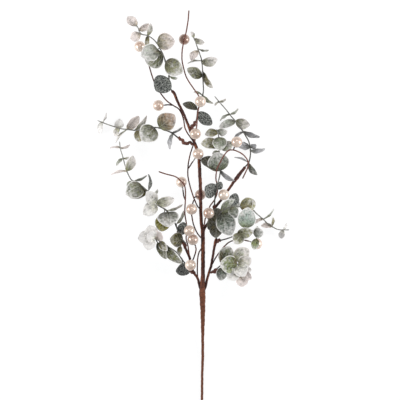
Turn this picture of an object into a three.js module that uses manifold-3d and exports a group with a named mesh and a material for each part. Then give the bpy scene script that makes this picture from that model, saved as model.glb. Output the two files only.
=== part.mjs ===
// Faux eucalyptus spray with pearl beads, lying down. Millimetres, +Z up, +Y towards the leafy end.
// A paper-wrapped wire stem carries eleven moulded leafy sprigs and sixteen pearl beads.

import * as THREE from "three";
import { mergeVertices } from "three/addons/utils/BufferGeometryUtils.js";
import Module from "manifold-3d";

const wasm = await Module();
wasm.setup();

// Driving sizes
const pearlRadius = 8.3;
const pearlSides = 9;
const pearlBands = 6;
const wireDiameter = 1.8;
const sprigStemStart = 2.0;
const sprigStemEnd = 1.5;
const socketClearance = 0.45;
const stalkDepth = 2.2;
const leafThickness = 0.8;
const neckThickness = 1;
const neckHalfWidth = 0.6;
const leafBow = 0.06;
const leafCup = 0.18;
const smallLeafWidth = 16;
const stemStep = 15;
const branchStep = 14;
const wireStep = 12;
const axisParts = 10;

const up = new THREE.Vector3(0, 0, 1);

// Wrapped stem: each route is a list of [x, y, z, diameter] from the root of the stretch to its end
const mainStem = [
  [3, -304.5, 1.48, 3.2], [3.2, -280, 1.48, 3.2], [3.4, -262, 1.48, 3.2], [4.1, -240, 2.6, 3.8],
  [4.1, -210, 6, 4.3], [4.2, -165, 12, 7.5], [3.6, -141, 17, 9.7], [4.4, -111, 23, 6],
  [4.4, -60, 32, 6], [4.2, -48, 33.5, 6], [2, -33, 36, 5], [1, -6, 40, 5], [0.8, 15, 41.5, 5],
  [-0.6, 45, 44, 5.2], [-1.4, 60, 45, 5], [-4.5, 75, 46, 5], [-8.3, 85.5, 46, 5],
];
const branches = [
  // upper left
  [
    [-7, 82, 46, 4.6], [-15, 105, 48, 4], [-26, 132.5, 51, 3.8], [-32.5, 145, 52.5, 3.8],
    [-38.8, 159.8, 54.3, 4.4], [-42.3, 163.5, 55, 4.4],
  ],
  // right, passing under the middle sprig
  [
    [4.3, -50, 33, 4.6], [7.5, -41, 33.5, 4], [12, -35, 34, 4], [20.5, -16.5, 35, 4],
    [23, -11, 35, 3.8], [32, 0, 35, 3.8], [41.7, 14, 33.5, 3.8], [50.5, 26.5, 31, 4.2],
    [55.5, 33.5, 29, 6], [64.2, 44.8, 26.2, 4.4], [68.3, 50, 25, 4.4],
  ],
  // low right
  [
    [5, -138, 17.6, 4.6], [8.5, -130, 19.5, 4], [11, -118.5, 22, 3.8], [14.4, -107, 26, 3.8],
    [16.7, -99.6, 29, 3.8], [18.6, -89, 33, 3.8], [21.3, -72.6, 39, 3.8],
    [22.9, -64, 42.2, 4.6], [24.8, -57.8, 44, 4.4],
  ],
  // low left
  [
    [2.2, -138, 17.6, 4.6], [-0.5, -130, 19.5, 4], [-3.6, -118.5, 22, 3.8], [-9.5, -109, 25, 3.8],
    [-14.4, -97.5, 29, 3.8], [-15.4, -88, 31.5, 3.8], [-23, -70, 36, 3.8],
    [-31.2, -51.5, 39.3, 4.4], [-33.5, -46, 40, 4.4],
  ],
];
// Taped joints that hold the other sprigs
const joints = [
  [[-13.5, 102, 47.6, 4.6], [-11, 110.5, 48.4, 5.6], [-8.7, 114, 48.6, 4.8], [-6, 118, 48.8, 4.6]],
  [[-8, 82.5, 46, 4.2], [-16, 86, 47, 3.8], [-21, 84.5, 48, 5.6], [-28, 90.3, 48, 4.6], [-33, 93.5, 48, 4.6]],
  [[21, -15.5, 35, 3.8], [21.3, -12.5, 37, 4.2], [21.8, -7, 40.5, 4]],
  [[23, -65.5, 41.5, 4.2], [27, -61.5, 44.5, 5.2], [31, -60.5, 46, 4.6]],
  [[15.5, -109.5, 25.2, 2.8], [21, -108, 29, 5], [25.5, -103.5, 33, 4.2]],
  [[-7.5, -112, 24, 4.2], [-11.5, -108.4, 26.7, 5], [-16, -105, 29, 4.6]],
  [[-21.5, -73, 35.3, 4], [-22.3, -68, 38.2, 4.8], [-22.5, -64.5, 41, 4.6]],
];
// Bead wires and bare tendrils, all of one thin wire
const wires = [
  // first bead wire, up the left side
  [
    [-8.5, 84, 47], [-11.4, 89.7, 47.5], [-18, 99, 48], [-22.5, 108, 48.5], [-24.5, 120, 49],
    [-27.8, 129.8, 50], [-32, 136.5, 50], [-40.5, 141.8, 50], [-50.9, 149.7, 49], [-57.8, 158.4, 48],
    [-68, 175.5, 46], [-75, 196.5, 44], [-77.3, 204, 43], [-82, 214, 42],
  ],
  [[-40.5, 141.8, 50], [-47, 142.6, 50], [-54, 142, 50]],
  // left of the main stem
  [
    [-0.5, -13, 39.5], [-4, -9, 41], [-7, -2.3, 43], [-10, 5, 44], [-15, 21, 45], [-18, 35.4, 45],
    [-18, 49.5, 45], [-15.6, 65, 45], [-10.5, 81.8, 46],
  ],
  [[-17.6, 47, 45], [-12.8, 54.5, 49], [-10, 58.5, 52]],
  [
    [-8.5, 1, 43.6], [-10.8, -4.5, 41], [-12.6, -13.8, 38], [-12.5, -22.5, 37], [-9.5, -37.5, 36],
    [-4, -50, 34.5], [2.5, -58, 32.6],
  ],
  [[-9, 3, 44], [-8, 4, 38], [-6, 5, 33]],
  // tall tendril
  [
    [-8, 84, 47], [-7, 95, 50.5], [-5, 109.5, 53], [-3.8, 126, 55], [-2.3, 136.5, 55],
    [0.6, 146.6, 55], [-2.1, 156, 55], [-9, 165.8, 55], [-20, 183, 55], [-23.9, 195, 54],
    [-26.6, 207.5, 54], [-27, 219, 55], [-25, 233.4, 57], [-22.2, 244.8, 58], [-20, 254.5, 58],
    [-17.9, 267.8, 57], [-16.5, 283.5, 56],
  ],
  // left tendril
  [
    [-16, -84, 32.5], [-18.6, -66.8, 37], [-20.8, -59, 38], [-20.4, -50, 39], [-20.3, -37.2, 41],
    [-22.8, -18.8, 42], [-22.2, -4.5, 43], [-21.8, 12.8, 43], [-23.4, 21.8, 43], [-28.2, 28.2, 43],
    [-36.8, 35, 44], [-50.3, 38.7, 45], [-62, 42.6, 47],
  ],
  [[-22.2, 0, 43], [-24.6, 7, 41.5], [-25.7, 16, 37]],
  // right tendril with its arch
  [
    [2.5, -42, 35], [6.2, -37.5, 37], [8, -27.8, 40], [13, -19.8, 43], [14.3, -10.7, 42],
    [22.4, 1.4, 38.5], [25.8, 10.5, 40], [25.8, 22, 44], [24, 30, 51.5], [24, 38, 60.5], [25.8, 47.6, 67.5],
    [31, 58, 71], [35.6, 66, 72], [41.4, 72.9, 70], [48.8, 74.6, 66.5], [57.5, 71.7, 68],
    [66, 66, 66], [71.3, 57.9, 62], [71.3, 48.8, 57], [67.8, 40.7, 53], [63.8, 32.1, 50],
  ],
  // low wires
  [[-14.4, -97.5, 29], [-10, -88.8, 33], [-6, -75, 37], [-6.5, -70, 39]],
  [[-3.6, -118.5, 22], [-4, -105, 25], [-3.6, -90, 28], [-1.5, -79, 29.5], [3, -72, 30]],
  [
    [18, -97.5, 30], [23, -88, 33], [26.4, -82.4, 35], [35, -71.4, 37], [43, -64, 38],
    [51.8, -60.5, 38], [66, -60.3, 37], [74, -62, 36],
  ],
];
// Pearls: [centre x, y, z] and [x, y, z] of the wire point that the straight tip starts from
const pearls = [
  [[-90.3, 230.5, 41], [-82, 214, 42]],
  [[-23.6, 240.8, 46.5], [-23.2, 241, 57.6]],
  [[-62.4, 141.6, 50], [-54, 142, 50]],
  [[-28, 27, 32], [-25.7, 16, 37]],
  [[0.6, 146.6, 68], [0.6, 146.6, 55]],
  [[-7, 98.7, 64], [-7.4, 92, 49.6]],
  [[-2.8, 69, 58], [-10, 58.5, 52]],
  [[54.6, 86.3, 69], [49.5, 74.6, 66.2]],
  [[-12.6, -13.8, 50], [-12, -10, 39.2]],
  [[-16, -46, 57.5], [-20.3, -47, 39.3]],
  [[0.5, 7.8, 28], [-6, 5, 33]],
  [[13, -19.8, 58.5], [13, -19.8, 43]],
  [[35.6, 7.8, 51], [36, 6.5, 34.6]],
  [[-10.7, -59.4, 46.5], [-6.5, -70, 39]],
  [[85.5, -65.9, 35], [74, -62, 36]],
  [[-14.3, -97.8, 43], [-14.6, -96.5, 29.4]],
];
// Leafy sprigs. stem: [x, y, z] from the end inside its joint to the tip. leaves: where it leaves the
// stem (x, y), its tip (x, y, z), blade length, blade width, roll about its own length and cup.
const sprigs = {
  sprig_top_left: {
    stem: [
      [-38.8, 159.8, 54.3], [-42.3, 163.5, 55], [-46.5, 174, 57], [-46.5, 186, 59], [-50, 198, 60],
      [-52.5, 210, 60], [-59, 225, 59], [-65, 235, 58], [-72, 242, 57], [-79, 246, 56],
      [-88.5, 248.7, 54], [-93, 258, 52], [-97, 263, 50],
    ],
    leaves: [
      [-95, 260, -108.5, 275, 44, 21, 15, 15],
      [-88, 249, -104, 241, 50, 17, 16, 10],
      [-92, 254, -76, 263.7, 58, 19, 12, 35],
      [-78, 245.5, -74, 264, 62, 19, 10, 35],
      [-78, 245.5, -78.8, 228, 52, 18, 9, 30],
      [-64, 236, -37, 237, 66, 28, 27, 5],
      [-60, 227, -88, 214, 74, 30, 27, 0],
      [-55, 219, -81, 205.5, 51, 33, 33, 0],
      [-52, 208, -25.5, 189, 68, 32, 27, 8],
      [-46.5, 181, -66, 162.5, 63, 30, 30, 0, 0.1],
      [-46.5, 184, -33, 182, 62, 12, 7, 50],
    ],
  },
  sprig_top: {
    stem: [
      [-8.7, 114, 48.6], [-6, 118, 48.8], [-3, 135, 47], [1.5, 150, 46], [5, 162, 46],
      [4.5, 178.5, 47], [4, 193.5, 48], [2.3, 210, 49], [-2.6, 225, 50], [-7.8, 239.6, 50],
      [-10.5, 246, 49.5],
    ],
    leaves: [
      [-9, 243, -13.5, 252, 52, 10, 7, 30],
      [-8, 241, 7.2, 235.5, 53, 17, 11, 40],
      [-2, 226, 14, 225.5, 50, 15, 12, 78],
      [-3.8, 225, -13, 208, 56, 19, 13, 25],
      [1.5, 209, -18.8, 204, 48, 20, 14, 78],
      [3, 205.5, 26, 211, 52, 24, 17, 30],
      [4, 184.5, -20, 196, 58, 27, 18, 15],
      [4.5, 192, 20.5, 168, 50, 29, 15, 55],
      [3, 158, 20.7, 145.5, 46, 21, 13, 65],
      [3, 158, -10, 162, 45, 13, 8, 60],
      [-3, 135, -26, 144.6, 42, 24, 15, 40],
      [-3, 132, 17.9, 113, 44, 28, 18, 10],
    ],
  },
  sprig_upper_left: {
    stem: [
      [-28, 90.3, 48], [-33, 93.5, 48], [-42, 100.5, 48], [-50, 103.8, 46.5], [-63.6, 108.6, 44],
      [-78, 107.3, 40], [-90.5, 105.8, 36], [-99, 105, 32], [-110, 106.5, 27], [-119, 107.6, 23],
      [-131.6, 111.5, 18], [-145, 116.3, 13], [-155.4, 120.5, 9],
    ],
    leaves: [
      [-148.5, 117.6, -142.5, 132.5, 14, 16, 12, 78],
      [-148.5, 117.6, -152.6, 100, 0.5, 22, 12, 40],
      [-122, 108.5, -121, 122, 34, 17, 15, 0],
      [-122, 108.5, -129, 96.6, 18, 16, 13, 40],
      [-110, 107, -92, 126.5, 32, 27, 16, 30],
      [-110, 106, -126.8, 85.7, 26, 27, 14, 78],
      [-98, 105.5, -79.8, 126.8, 36, 28, 14, 62],
      [-92, 105.5, -91, 87, 32, 20, 16, 35],
      [-68, 108, -87, 89, 52, 31, 31, 0],
      [-61, 108, -38, 127.5, 54, 31, 29, 5],
      [-41.6, 101, -26.5, 110, 44, 18, 9, 70],
      [-41.6, 99, -44.4, 75.6, 44, 24, 13, 60],
    ],
  },
  sprig_left: {
    stem: [
      [-31.2, -51.5, 39.3], [-33.5, -46, 40], [-36.3, -37.5, 42], [-45, -21, 44], [-53, -13.7, 45],
      [-62.4, -8, 45], [-72, 3, 44], [-77.4, 12, 43], [-90, 22.5, 40], [-102.3, 29.3, 36],
      [-110, 43, 31], [-113.7, 54.5, 27], [-116, 63, 23], [-120.6, 78.6, 17], [-121.8, 88.5, 13],
    ],
    leaves: [
      [-121, 79, -136.5, 78, 14, 16, 11, 72],
      [-121, 79, -105.5, 84, 14, 16, 11, 72],
      [-116, 63, -125.9, 51, 20, 15, 11, 60],
      [-116, 63, -106.4, 65, 20, 10, 8, 65],
      [-110, 44, -101, 67, 34, 25, 17, 35],
      [-110, 43, -134, 37, 26, 25, 13, 72],
      [-101, 29, -80, 38, 40, 22, 12, 72],
      [-102, 29, -110, 20, 34, 11, 7, 30],
      [-86, 20, -111, 8, 50, 31, 27, 0, 0.3],
      [-78, 12, -108, 6, 34, 31, 19, 20],
      [-77, 13, -77, 39, 44, 25, 14, 72],
      [-72, 4, -63.5, 16.5, 48, 12, 7, 50],
      [-62, -8, -80, 12.5, 58, 24, 20, 5],
      [-63, -8, -85, -22, 50, 25, 21, 5],
      [-64, -5, -38.5, 2.5, 48, 28, 17, 20],
      [-50, -16, -26, -6, 46, 24, 12, 70],
      [-50, -16, -46.5, -41, 60, 27, 33, 0, 0.3],
      [-36, -38, -24.5, -16, 37, 22, 12, 66],
      [-53, -13.7, -58, -47, 38, 26, 24, 5],
    ],
  },
  sprig_upper_right: {
    stem: [
      [64.2, 44.8, 26.2], [68.3, 50, 25], [73.4, 56.6, 24], [75.8, 65.3, 22], [76.2, 76.5, 20],
      [73.4, 89, 19], [68.5, 97.8, 18], [63.8, 105.5, 18], [54.2, 118.8, 17], [46.5, 127.4, 16],
      [40, 136, 16], [28.4, 149.4, 15], [22.2, 157, 14],
    ],
    leaves: [
      [29, 148.5, 22, 142.5, 15, 10, 7, 60],
      [29, 148.5, 39.5, 153.5, 16, 11, 8, 60],
      [45, 129, 58, 139, 18, 16, 10, 68],
      [45, 129, 30, 119.5, 15, 18, 11, 66],
      [54, 119, 29, 110, 20, 26, 14, 25],
      [54, 119, 75.5, 113.5, 19, 25, 18, 25],
      [65, 104, 91, 96, 16, 27, 14, 60],
      [65, 103, 52.2, 93, 16, 16, 10, 62],
      [75.5, 80, 57, 81, 26, 19, 15, 35],
      [75.5, 80, 85, 84, 23, 12, 11, 40],
      [76.3, 75, 99.5, 77, 0.5, 30, 11, 50],
      [73, 57, 51.3, 63.3, 26, 22, 11, 75],
      [73, 56, 86.7, 37.5, 22, 22, 13, 50],
    ],
  },
  sprig_middle: {
    stem: [
      [21.3, -12.5, 37], [21.8, -7, 40.5], [22.5, 4.5, 46], [25.5, 20, 53], [30.5, 42.8, 58],
      [30, 60, 60], [28.4, 73.8, 60], [28, 85, 59.5], [27.5, 97.8, 58], [25, 106, 56.5],
    ],
    leaves: [
      [27, 101, 7.5, 97, 58, 21, 15, 30],
      [26.5, 103, 41, 102, 60, 15, 14, 35],
      [28, 94, 30, 73.5, 67, 22, 22, 0],
      [28, 82, 1, 84.5, 61, 28, 19, 20],
      [28.5, 79, 50, 84.5, 54, 22, 17, 30],
      [28.5, 73, 18, 68.5, 60, 10, 7, 20],
      [30.5, 43, 24.5, 71, 67, 29, 33, 0, 0.1],
      [30.5, 44, 1.5, 61, 52, 34, 26, 40, 0.35],
      [30, 44, 51, 28.5, 62, 26, 12, 55],
      [24, 10, 7, 20, 60, 25, 24, 5, 0.1],
      [24.6, 15, 32, 27, 52, 13, 12, 10],
    ],
  },
  sprig_right: {
    stem: [
      [22.9, -64, 42.2], [24.8, -57.8, 44], [22.5, -42, 48], [30, -19.5, 50.5], [45, -10.5, 50],
      [64.5, -10.5, 45], [79.5, -15, 39], [84, -19.5, 37], [95, -28.7, 30], [102, -35.6, 25],
      [110, -40.8, 20], [117, -44.3, 16.5], [124.2, -45.3, 13.5], [135.2, -45.3, 10],
    ],
    leaves: [
      [45, -10.5, 54.5, 10, 46, 21, 16, 5, 0.1],
      [31, -18, 59, -3, 45, 32, 24, 10],
      [48, -10.5, 54, -27, 57, 19, 16, 10],
      [30, -19, 47, -53, 64, 37, 30, 0],
      [60, -10.5, 84, -4, 42, 27, 24, 10],
      [80, -15.5, 80, 0, 44, 14, 8, 50],
      [22.5, -41, 27, -12, 45, 28, 27, 0],
      [23.3, -44, 11.5, -32, 50, 16, 15, 10],
      [22.8, -37, 24, -56.5, 57, 20, 20, 5],
      [95, -28.7, 111.5, -12.3, 30, 23, 12, 75],
      [95, -28.7, 79.7, -36.6, 28, 18, 12, 66],
      [108.5, -40, 109, -25.2, 26, 15, 11, 62],
      [108.5, -40, 92, -39.6, 20, 17, 11, 45],
      [126, -45.3, 130.5, -35, 15, 11, 8, 60],
      [126, -45.3, 123, -58, 0.5, 18, 10, 10],
    ],
  },
  sprig_right_small: {
    stem: [
      [27, -61.5, 44.5], [31, -60.5, 46], [40, -58, 50], [51, -54, 54], [60, -50.5, 56],
      [69, -48, 56.5], [79.5, -49, 55], [84, -54, 53], [85.5, -58, 51],
    ],
    leaves: [
      [52, -54, 79.5, -46, 64, 26, 18, 15],
      [62, -50, 52, -66, 62, 19, 19, 0],
      [80, -49.5, 95, -48, 59, 16, 17, 10],
      [79, -49, 86.4, -38.5, 57, 11, 7, 50],
      [85, -57, 80.5, -74.5, 54, 17, 13, 0],
      [66, -49, 72, -11, 66, 32, 28, 0],
    ],
  },
  sprig_low_right: {
    stem: [
      [21, -108, 29], [25.5, -103.5, 33], [33, -97, 42], [43, -92, 50], [53, -94, 55],
      [60, -101, 57], [63, -112, 55], [64, -120, 52],
    ],
    leaves: [
      [35, -95, 44.5, -69.5, 47, 24, 24, 0, 0.1],
      [49, -92.8, 73, -73, 56, 27, 23, 5],
      [56, -96.5, 76.5, -87, 58, 21, 20, 10],
      [57, -96, 29.5, -95, 67, 28, 28, 0],
      [34, -96.5, 27, -82, 48, 15, 10, 50],
      [58, -98, 66, -114, 70, 23, 23, 0],
      [60, -101, 41, -118, 64, 20, 20, 0],
      [64, -114, 62, -130, 54, 17, 18, 0],
      [62.5, -107, 77, -118, 58, 17, 15, 20],
      [34, -96, 31, -121, 44, 20, 17, 0],
      [60.5, -102, 77, -104, 58, 15, 14, 30],
    ],
  },
  sprig_low_left: {
    stem: [
      [-11.5, -108.4, 26.7], [-16, -105, 29], [-24, -93.5, 34], [-36, -78, 40], [-49.5, -69, 44],
      [-63, -60, 47], [-75, -54, 48],
    ],
    leaves: [
      [-28, -88.5, -22, -113, 8, 27, 25, 0, 0.1],
      [-58, -62, -27, -95, 46, 42, 15, 20],
      [-62, -60.5, -49, -76, 54, 19, 13, 25],
      [-67, -58, -50, -88, 43, 28, 13, 20, 0.35],
      [-73, -55, -93, -58.5, 50, 20, 20, 5],
      [-72, -55.5, -75.5, -37.5, 54, 19, 21, 5],
      [-68, -57.5, -58.5, -48, 56, 15, 20, 10],
      [-72, -55.5, -79, -75, 50, 20, 20, 5],
      [-64, -60, -79, -51, 64, 18, 19, 0],
    ],
  },
  sprig_low_small: {
    stem: [[-22.3, -68, 38.2], [-22.5, -64.5, 41], [-26, -60, 46], [-31, -54, 49]],
    leaves: [
      [-25, -61.5, -45, -58, 56, 22, 23, 0],
      [-30, -55, -24, -33, 46.5, 20, 16, 0, 0.1],
      [-28, -58, -31, -83, 47, 14, 9, 20],
    ],
  },
};

// Outline of a round blade: its half width, as a share of the widest, at a share of its length
function bladeOutline(share) {
  return Math.pow(Math.sin(Math.PI * Math.pow(share, 0.9)), 0.6);
}

function routeCurve(route) {
  const points = route.map(([x, y, z]) => new THREE.Vector3(x, y, z));
  return new THREE.CatmullRomCurve3(points, false, "centripetal");
}

// Diameter at a share of the route's length, read between its points
function diameterAlong(route, curve, share) {
  const place = curve.getUtoTmapping(share) * (route.length - 1);
  const before = Math.min(Math.floor(place), route.length - 2);
  return THREE.MathUtils.lerp(route[before][3], route[before + 1][3], place - before);
}

// A capped cylinder bent along a route; swell widens it and lead starts it that much earlier
function tubeSolid(route, { sides = 5, step = wireStep, swell = 0, lead = 0 } = {}) {
  const curve = routeCurve(route);
  const rings = Math.max(1, Math.round(curve.getLength() / step));
  const geometry = new THREE.CylinderGeometry(1, 1, 1, sides, rings, false, Math.PI / sides);
  const chord = curve.getPoint(1).sub(curve.getPoint(0)).normalize();
  const reference = Math.abs(chord.z) > 0.75 ? new THREE.Vector3(1, 0, 0) : up;
  const position = geometry.attributes.position;
  for (let index = 0; index < position.count; index += 1) {
    const share = Math.round((0.5 - position.getY(index)) * rings) / rings;
    const tangent = curve.getTangentAt(share);
    const side = new THREE.Vector3().crossVectors(reference, tangent).normalize();
    const top = new THREE.Vector3().crossVectors(tangent, side);
    const radius = diameterAlong(route, curve, share) / 2 + swell;
    const point = curve.getPointAt(share);
    point.addScaledVector(side, position.getX(index) * radius);
    point.addScaledVector(top, position.getZ(index) * radius);
    point.addScaledVector(tangent, share === 0 ? -lead : 0);
    position.setXYZ(index, point.x, point.y, point.z);
  }
  return toSolid(geometry);
}

function toSolid(geometry) {
  geometry.deleteAttribute("normal");
  geometry.deleteAttribute("uv");
  const merged = mergeVertices(geometry);
  const vertProperties = new Float32Array(merged.attributes.position.array);
  const triVerts = new Uint32Array(merged.index.array);
  return new wasm.Manifold(new wasm.Mesh({ numProp: 3, vertProperties, triVerts }));
}

function toGeometry(solid) {
  const { vertProperties, triVerts } = solid.getMesh();
  const geometry = new THREE.BufferGeometry();
  geometry.setAttribute("position", new THREE.BufferAttribute(vertProperties, 3));
  geometry.setIndex(new THREE.BufferAttribute(triVerts, 1));
  geometry.computeVertexNormals();
  return geometry;
}

function joined(solids) {
  return solids.reduce((whole, next) => whole.add(next));
}

// Points close together along the axis of a tube, which is straight from ring to ring
function axisPoints(route, step) {
  const curve = routeCurve(route);
  const rings = curve.getSpacedPoints(Math.max(1, Math.round(curve.getLength() / step)));
  const parts = Array.from({ length: axisParts }, (_, part) => part / axisParts);
  const stretch = (start, end) => parts.map((share) => start.clone().lerp(end, share));
  return rings.slice(1).flatMap((end, index) => stretch(rings[index], end));
}

function nearestPoint(points, x, y) {
  const distance = (point) => Math.hypot(point.x - x, point.y - y);
  return points.reduce((best, point) => (distance(point) < distance(best) ? point : best));
}

// One leaf: a thin blade of three columns and a few rows, drawn out at its root into a neck
function leafSolid(root, [, , tipX, tipY, tipZ, length, width, roll, cup = leafCup]) {
  const along = new THREE.Vector3(tipX, tipY, tipZ).sub(root);
  const reach = along.length();
  along.normalize();
  const face = up.clone().addScaledVector(along, -along.z).normalize();
  face.applyAxisAngle(along, THREE.MathUtils.degToRad(roll));
  const side = new THREE.Vector3().crossVectors(face, along);

  const neck = Math.max(reach - length, 0);
  const blade = reach - neck;
  const shares = width < smallLeafWidth ? [0.38, 0.76] : [0.2, 0.5, 0.82];
  const rows = [{ distance: 0, half: neckHalfWidth, thick: neckThickness, rise: 0 }];
  if (neck > 3) {
    rows.push({ distance: neck, half: neckHalfWidth, thick: neckThickness, rise: 0 });
  }
  for (const share of shares) {
    const half = (width / 2) * bladeOutline(share);
    const rise = leafBow * blade * Math.sin(Math.PI * share);
    rows.push({ distance: neck + share * blade, half, thick: leafThickness, rise });
  }

  const vertices = [];
  const addVertex = (distance, across, height) => {
    const point = root.clone().addScaledVector(along, distance);
    point.addScaledVector(side, across).addScaledVector(face, height);
    vertices.push(point.x, point.y, point.z);
    return vertices.length / 3 - 1;
  };
  const faceRow = (row, sign) =>
    [-1, 0, 1].map((across) => {
      const height = row.rise + Math.abs(across) * cup * row.half + (sign * row.thick) / 2;
      return addVertex(row.distance, across * row.half, height);
    });
  const tops = rows.map((row) => faceRow(row, 1));
  const unders = rows.map((row) => faceRow(row, -1));
  const tipTop = addVertex(reach, 0, leafThickness / 2);
  const tipUnder = addVertex(reach, 0, -leafThickness / 2);

  const faces = [];
  const quad = (a, b, c, d) => faces.push(a, b, c, a, c, d);
  for (let row = 0; row < rows.length - 1; row += 1) {
    const [left, middle, right] = tops[row];
    const [nextLeft, nextMiddle, nextRight] = tops[row + 1];
    faces.push(left, nextLeft, middle, nextLeft, nextMiddle, middle);
    faces.push(middle, nextMiddle, nextRight, middle, nextRight, right);
    const [underLeft, underMiddle, underRight] = unders[row];
    const [lowLeft, lowMiddle, lowRight] = unders[row + 1];
    faces.push(underLeft, underMiddle, lowLeft, lowLeft, underMiddle, lowMiddle);
    faces.push(underMiddle, lowRight, lowMiddle, underMiddle, underRight, lowRight);
    quad(left, underLeft, lowLeft, nextLeft);
    quad(right, nextRight, lowRight, underRight);
  }
  const [left, middle, right] = tops[tops.length - 1];
  const [lowLeft, lowMiddle, lowRight] = unders[unders.length - 1];
  faces.push(left, tipTop, middle, middle, tipTop, right);
  faces.push(lowLeft, lowMiddle, tipUnder, lowMiddle, lowRight, tipUnder);
  quad(left, lowLeft, tipUnder, tipTop);
  quad(right, tipTop, tipUnder, lowRight);
  const [startLeft, startMiddle, startRight] = tops[0];
  const [baseLeft, baseMiddle, baseRight] = unders[0];
  quad(startLeft, startMiddle, baseMiddle, baseLeft);
  quad(startMiddle, startRight, baseRight, baseMiddle);

  const geometry = new THREE.BufferGeometry();
  geometry.setAttribute("position", new THREE.BufferAttribute(new Float32Array(vertices), 3));
  geometry.setIndex(faces);
  return toSolid(geometry);
}

// Straight wire tip from the bead wire to near the pearl's centre
function stalkRoute([centre, start]) {
  const from = new THREE.Vector3(...start);
  const to = new THREE.Vector3(...centre);
  const end = to.clone().addScaledVector(to.clone().sub(from).normalize(), -stalkDepth);
  const middle = from.clone().lerp(end, 0.5);
  return [from, middle, end].map((point) => [...point.toArray(), wireDiameter]);
}

function stemRoute(stem) {
  const last = stem.length - 1;
  return stem.map((point, index) => {
    return [...point, THREE.MathUtils.lerp(sprigStemStart, sprigStemEnd, index / last)];
  });
}

function pearlSolid(pearl) {
  const ball = new THREE.SphereGeometry(pearlRadius, pearlSides, pearlBands);
  ball.rotateX(Math.PI / 2);
  ball.translate(...pearl[0]);
  const route = stalkRoute(pearl).reverse();
  return toSolid(ball).subtract(tubeSolid(route, { swell: socketClearance, lead: socketClearance }));
}

function sprigSolid({ stem, leaves }) {
  const route = stemRoute(stem);
  const axis = axisPoints(route, stemStep);
  const blades = leaves.map((leaf) => leafSolid(nearestPoint(axis, leaf[0], leaf[1]), leaf));
  return joined([tubeSolid(route, { step: stemStep }), ...blades]);
}

function wrappedStemSolid() {
  const trunk = tubeSolid(mainStem, { sides: 8, step: branchStep });
  const thick = [...branches, ...joints].map((route) => tubeSolid(route, { sides: 6, step: branchStep }));
  const thin = wires.map((route) => tubeSolid(route.map((point) => [...point, wireDiameter])));
  const stalks = pearls.map((pearl) => tubeSolid(stalkRoute(pearl), { step: 20 }));
  const whole = joined([trunk, ...thick, ...thin, ...stalks]);
  const room = { step: stemStep, swell: socketClearance, lead: socketClearance };
  return Object.values(sprigs).reduce(
    (solid, { stem }) => solid.subtract(tubeSolid(stemRoute(stem), room)),
    whole,
  );
}

const paperTape = new THREE.MeshStandardMaterial({ color: "#6e4640", roughness: 0.75, metalness: 0 });
const frostedLeaf = new THREE.MeshStandardMaterial({ color: "#949c8c", roughness: 0.7, metalness: 0 });
const pearlCoat = new THREE.MeshStandardMaterial({ color: "#dcc3ae", roughness: 0.2, metalness: 0 });

const spray = new THREE.Group();
function addPiece(name, solid, material) {
  const mesh = new THREE.Mesh(toGeometry(solid), material);
  mesh.name = name;
  spray.add(mesh);
}

addPiece("wrapped_stem", wrappedStemSolid(), paperTape);
for (const [name, sprig] of Object.entries(sprigs)) {
  addPiece(name, sprigSolid(sprig), frostedLeaf);
}
pearls.forEach((pearl, index) => {
  addPiece(`pearl_${String(index + 1).padStart(2, "0")}`, pearlSolid(pearl), pearlCoat);
});

// The origin is under the middle of the spray, on the surface that it lies on
const bounds = new THREE.Box3().setFromObject(spray);
const middle = bounds.getCenter(new THREE.Vector3());
for (const mesh of spray.children) {
  mesh.position.set(-middle.x, -middle.y, -bounds.min.z);
}

export default spray;
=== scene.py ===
# Faux eucalyptus spray with pearl beads, lying down and seen from straight above.
import math
import random
import bpy
from mathutils import Matrix, Vector


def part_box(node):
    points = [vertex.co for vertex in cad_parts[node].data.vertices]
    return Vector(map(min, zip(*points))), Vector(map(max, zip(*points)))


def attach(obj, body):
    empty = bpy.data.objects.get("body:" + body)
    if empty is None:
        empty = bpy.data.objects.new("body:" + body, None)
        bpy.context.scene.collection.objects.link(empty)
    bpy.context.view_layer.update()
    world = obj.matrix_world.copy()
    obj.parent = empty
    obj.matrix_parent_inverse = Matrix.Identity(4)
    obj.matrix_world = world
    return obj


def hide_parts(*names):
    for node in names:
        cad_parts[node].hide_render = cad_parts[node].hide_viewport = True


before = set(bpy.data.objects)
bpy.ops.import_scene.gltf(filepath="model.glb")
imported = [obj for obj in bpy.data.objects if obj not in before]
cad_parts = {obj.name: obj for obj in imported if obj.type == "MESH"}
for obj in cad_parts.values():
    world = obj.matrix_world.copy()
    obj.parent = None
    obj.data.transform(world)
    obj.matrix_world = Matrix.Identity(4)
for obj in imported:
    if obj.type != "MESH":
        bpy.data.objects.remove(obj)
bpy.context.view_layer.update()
mm = 0.001
random.seed(7)

# All routes below are in millimetres from the middle of the photographed field, z up from the floor
handleReach = 304.5          # from that middle down to the cut end of the handle
pearlReach = 90.3            # from that middle out to the first pearl on the left
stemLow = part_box("wrapped_stem")[0]
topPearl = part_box("pearl_01")
fieldMiddle = Vector((
    (topPearl[0].x + topPearl[1].x) / 2 + pearlReach * mm,
    stemLow.y + handleReach * mm,
    0,
))
print("frame loaded, middle of the field at", [round(value, 4) for value in fieldMiddle])


def place(point):
    return Vector(point[:3]) * mm + fieldMiddle


def linearColour(hexText):
    channels = []
    for start in (1, 3, 5):
        value = int(hexText[start:start + 2], 16) / 255
        channels.append(value / 12.92 if value <= 0.04045 else ((value + 0.055) / 1.055) ** 2.4)
    return (*channels, 1.0)


def selectOnly(*pieces):
    if bpy.context.object and bpy.context.object.mode != "OBJECT":
        bpy.ops.object.mode_set(mode="OBJECT")
    bpy.ops.object.select_all(action="DESELECT")
    for piece in pieces:
        piece.select_set(True)
    bpy.context.view_layer.objects.active = pieces[0]


def joinPieces(pieces, name):
    selectOnly(*pieces)
    if len(pieces) > 1:
        bpy.ops.object.join()
    whole = bpy.context.object
    whole.name = name
    whole.data.name = name
    return whole


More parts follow.
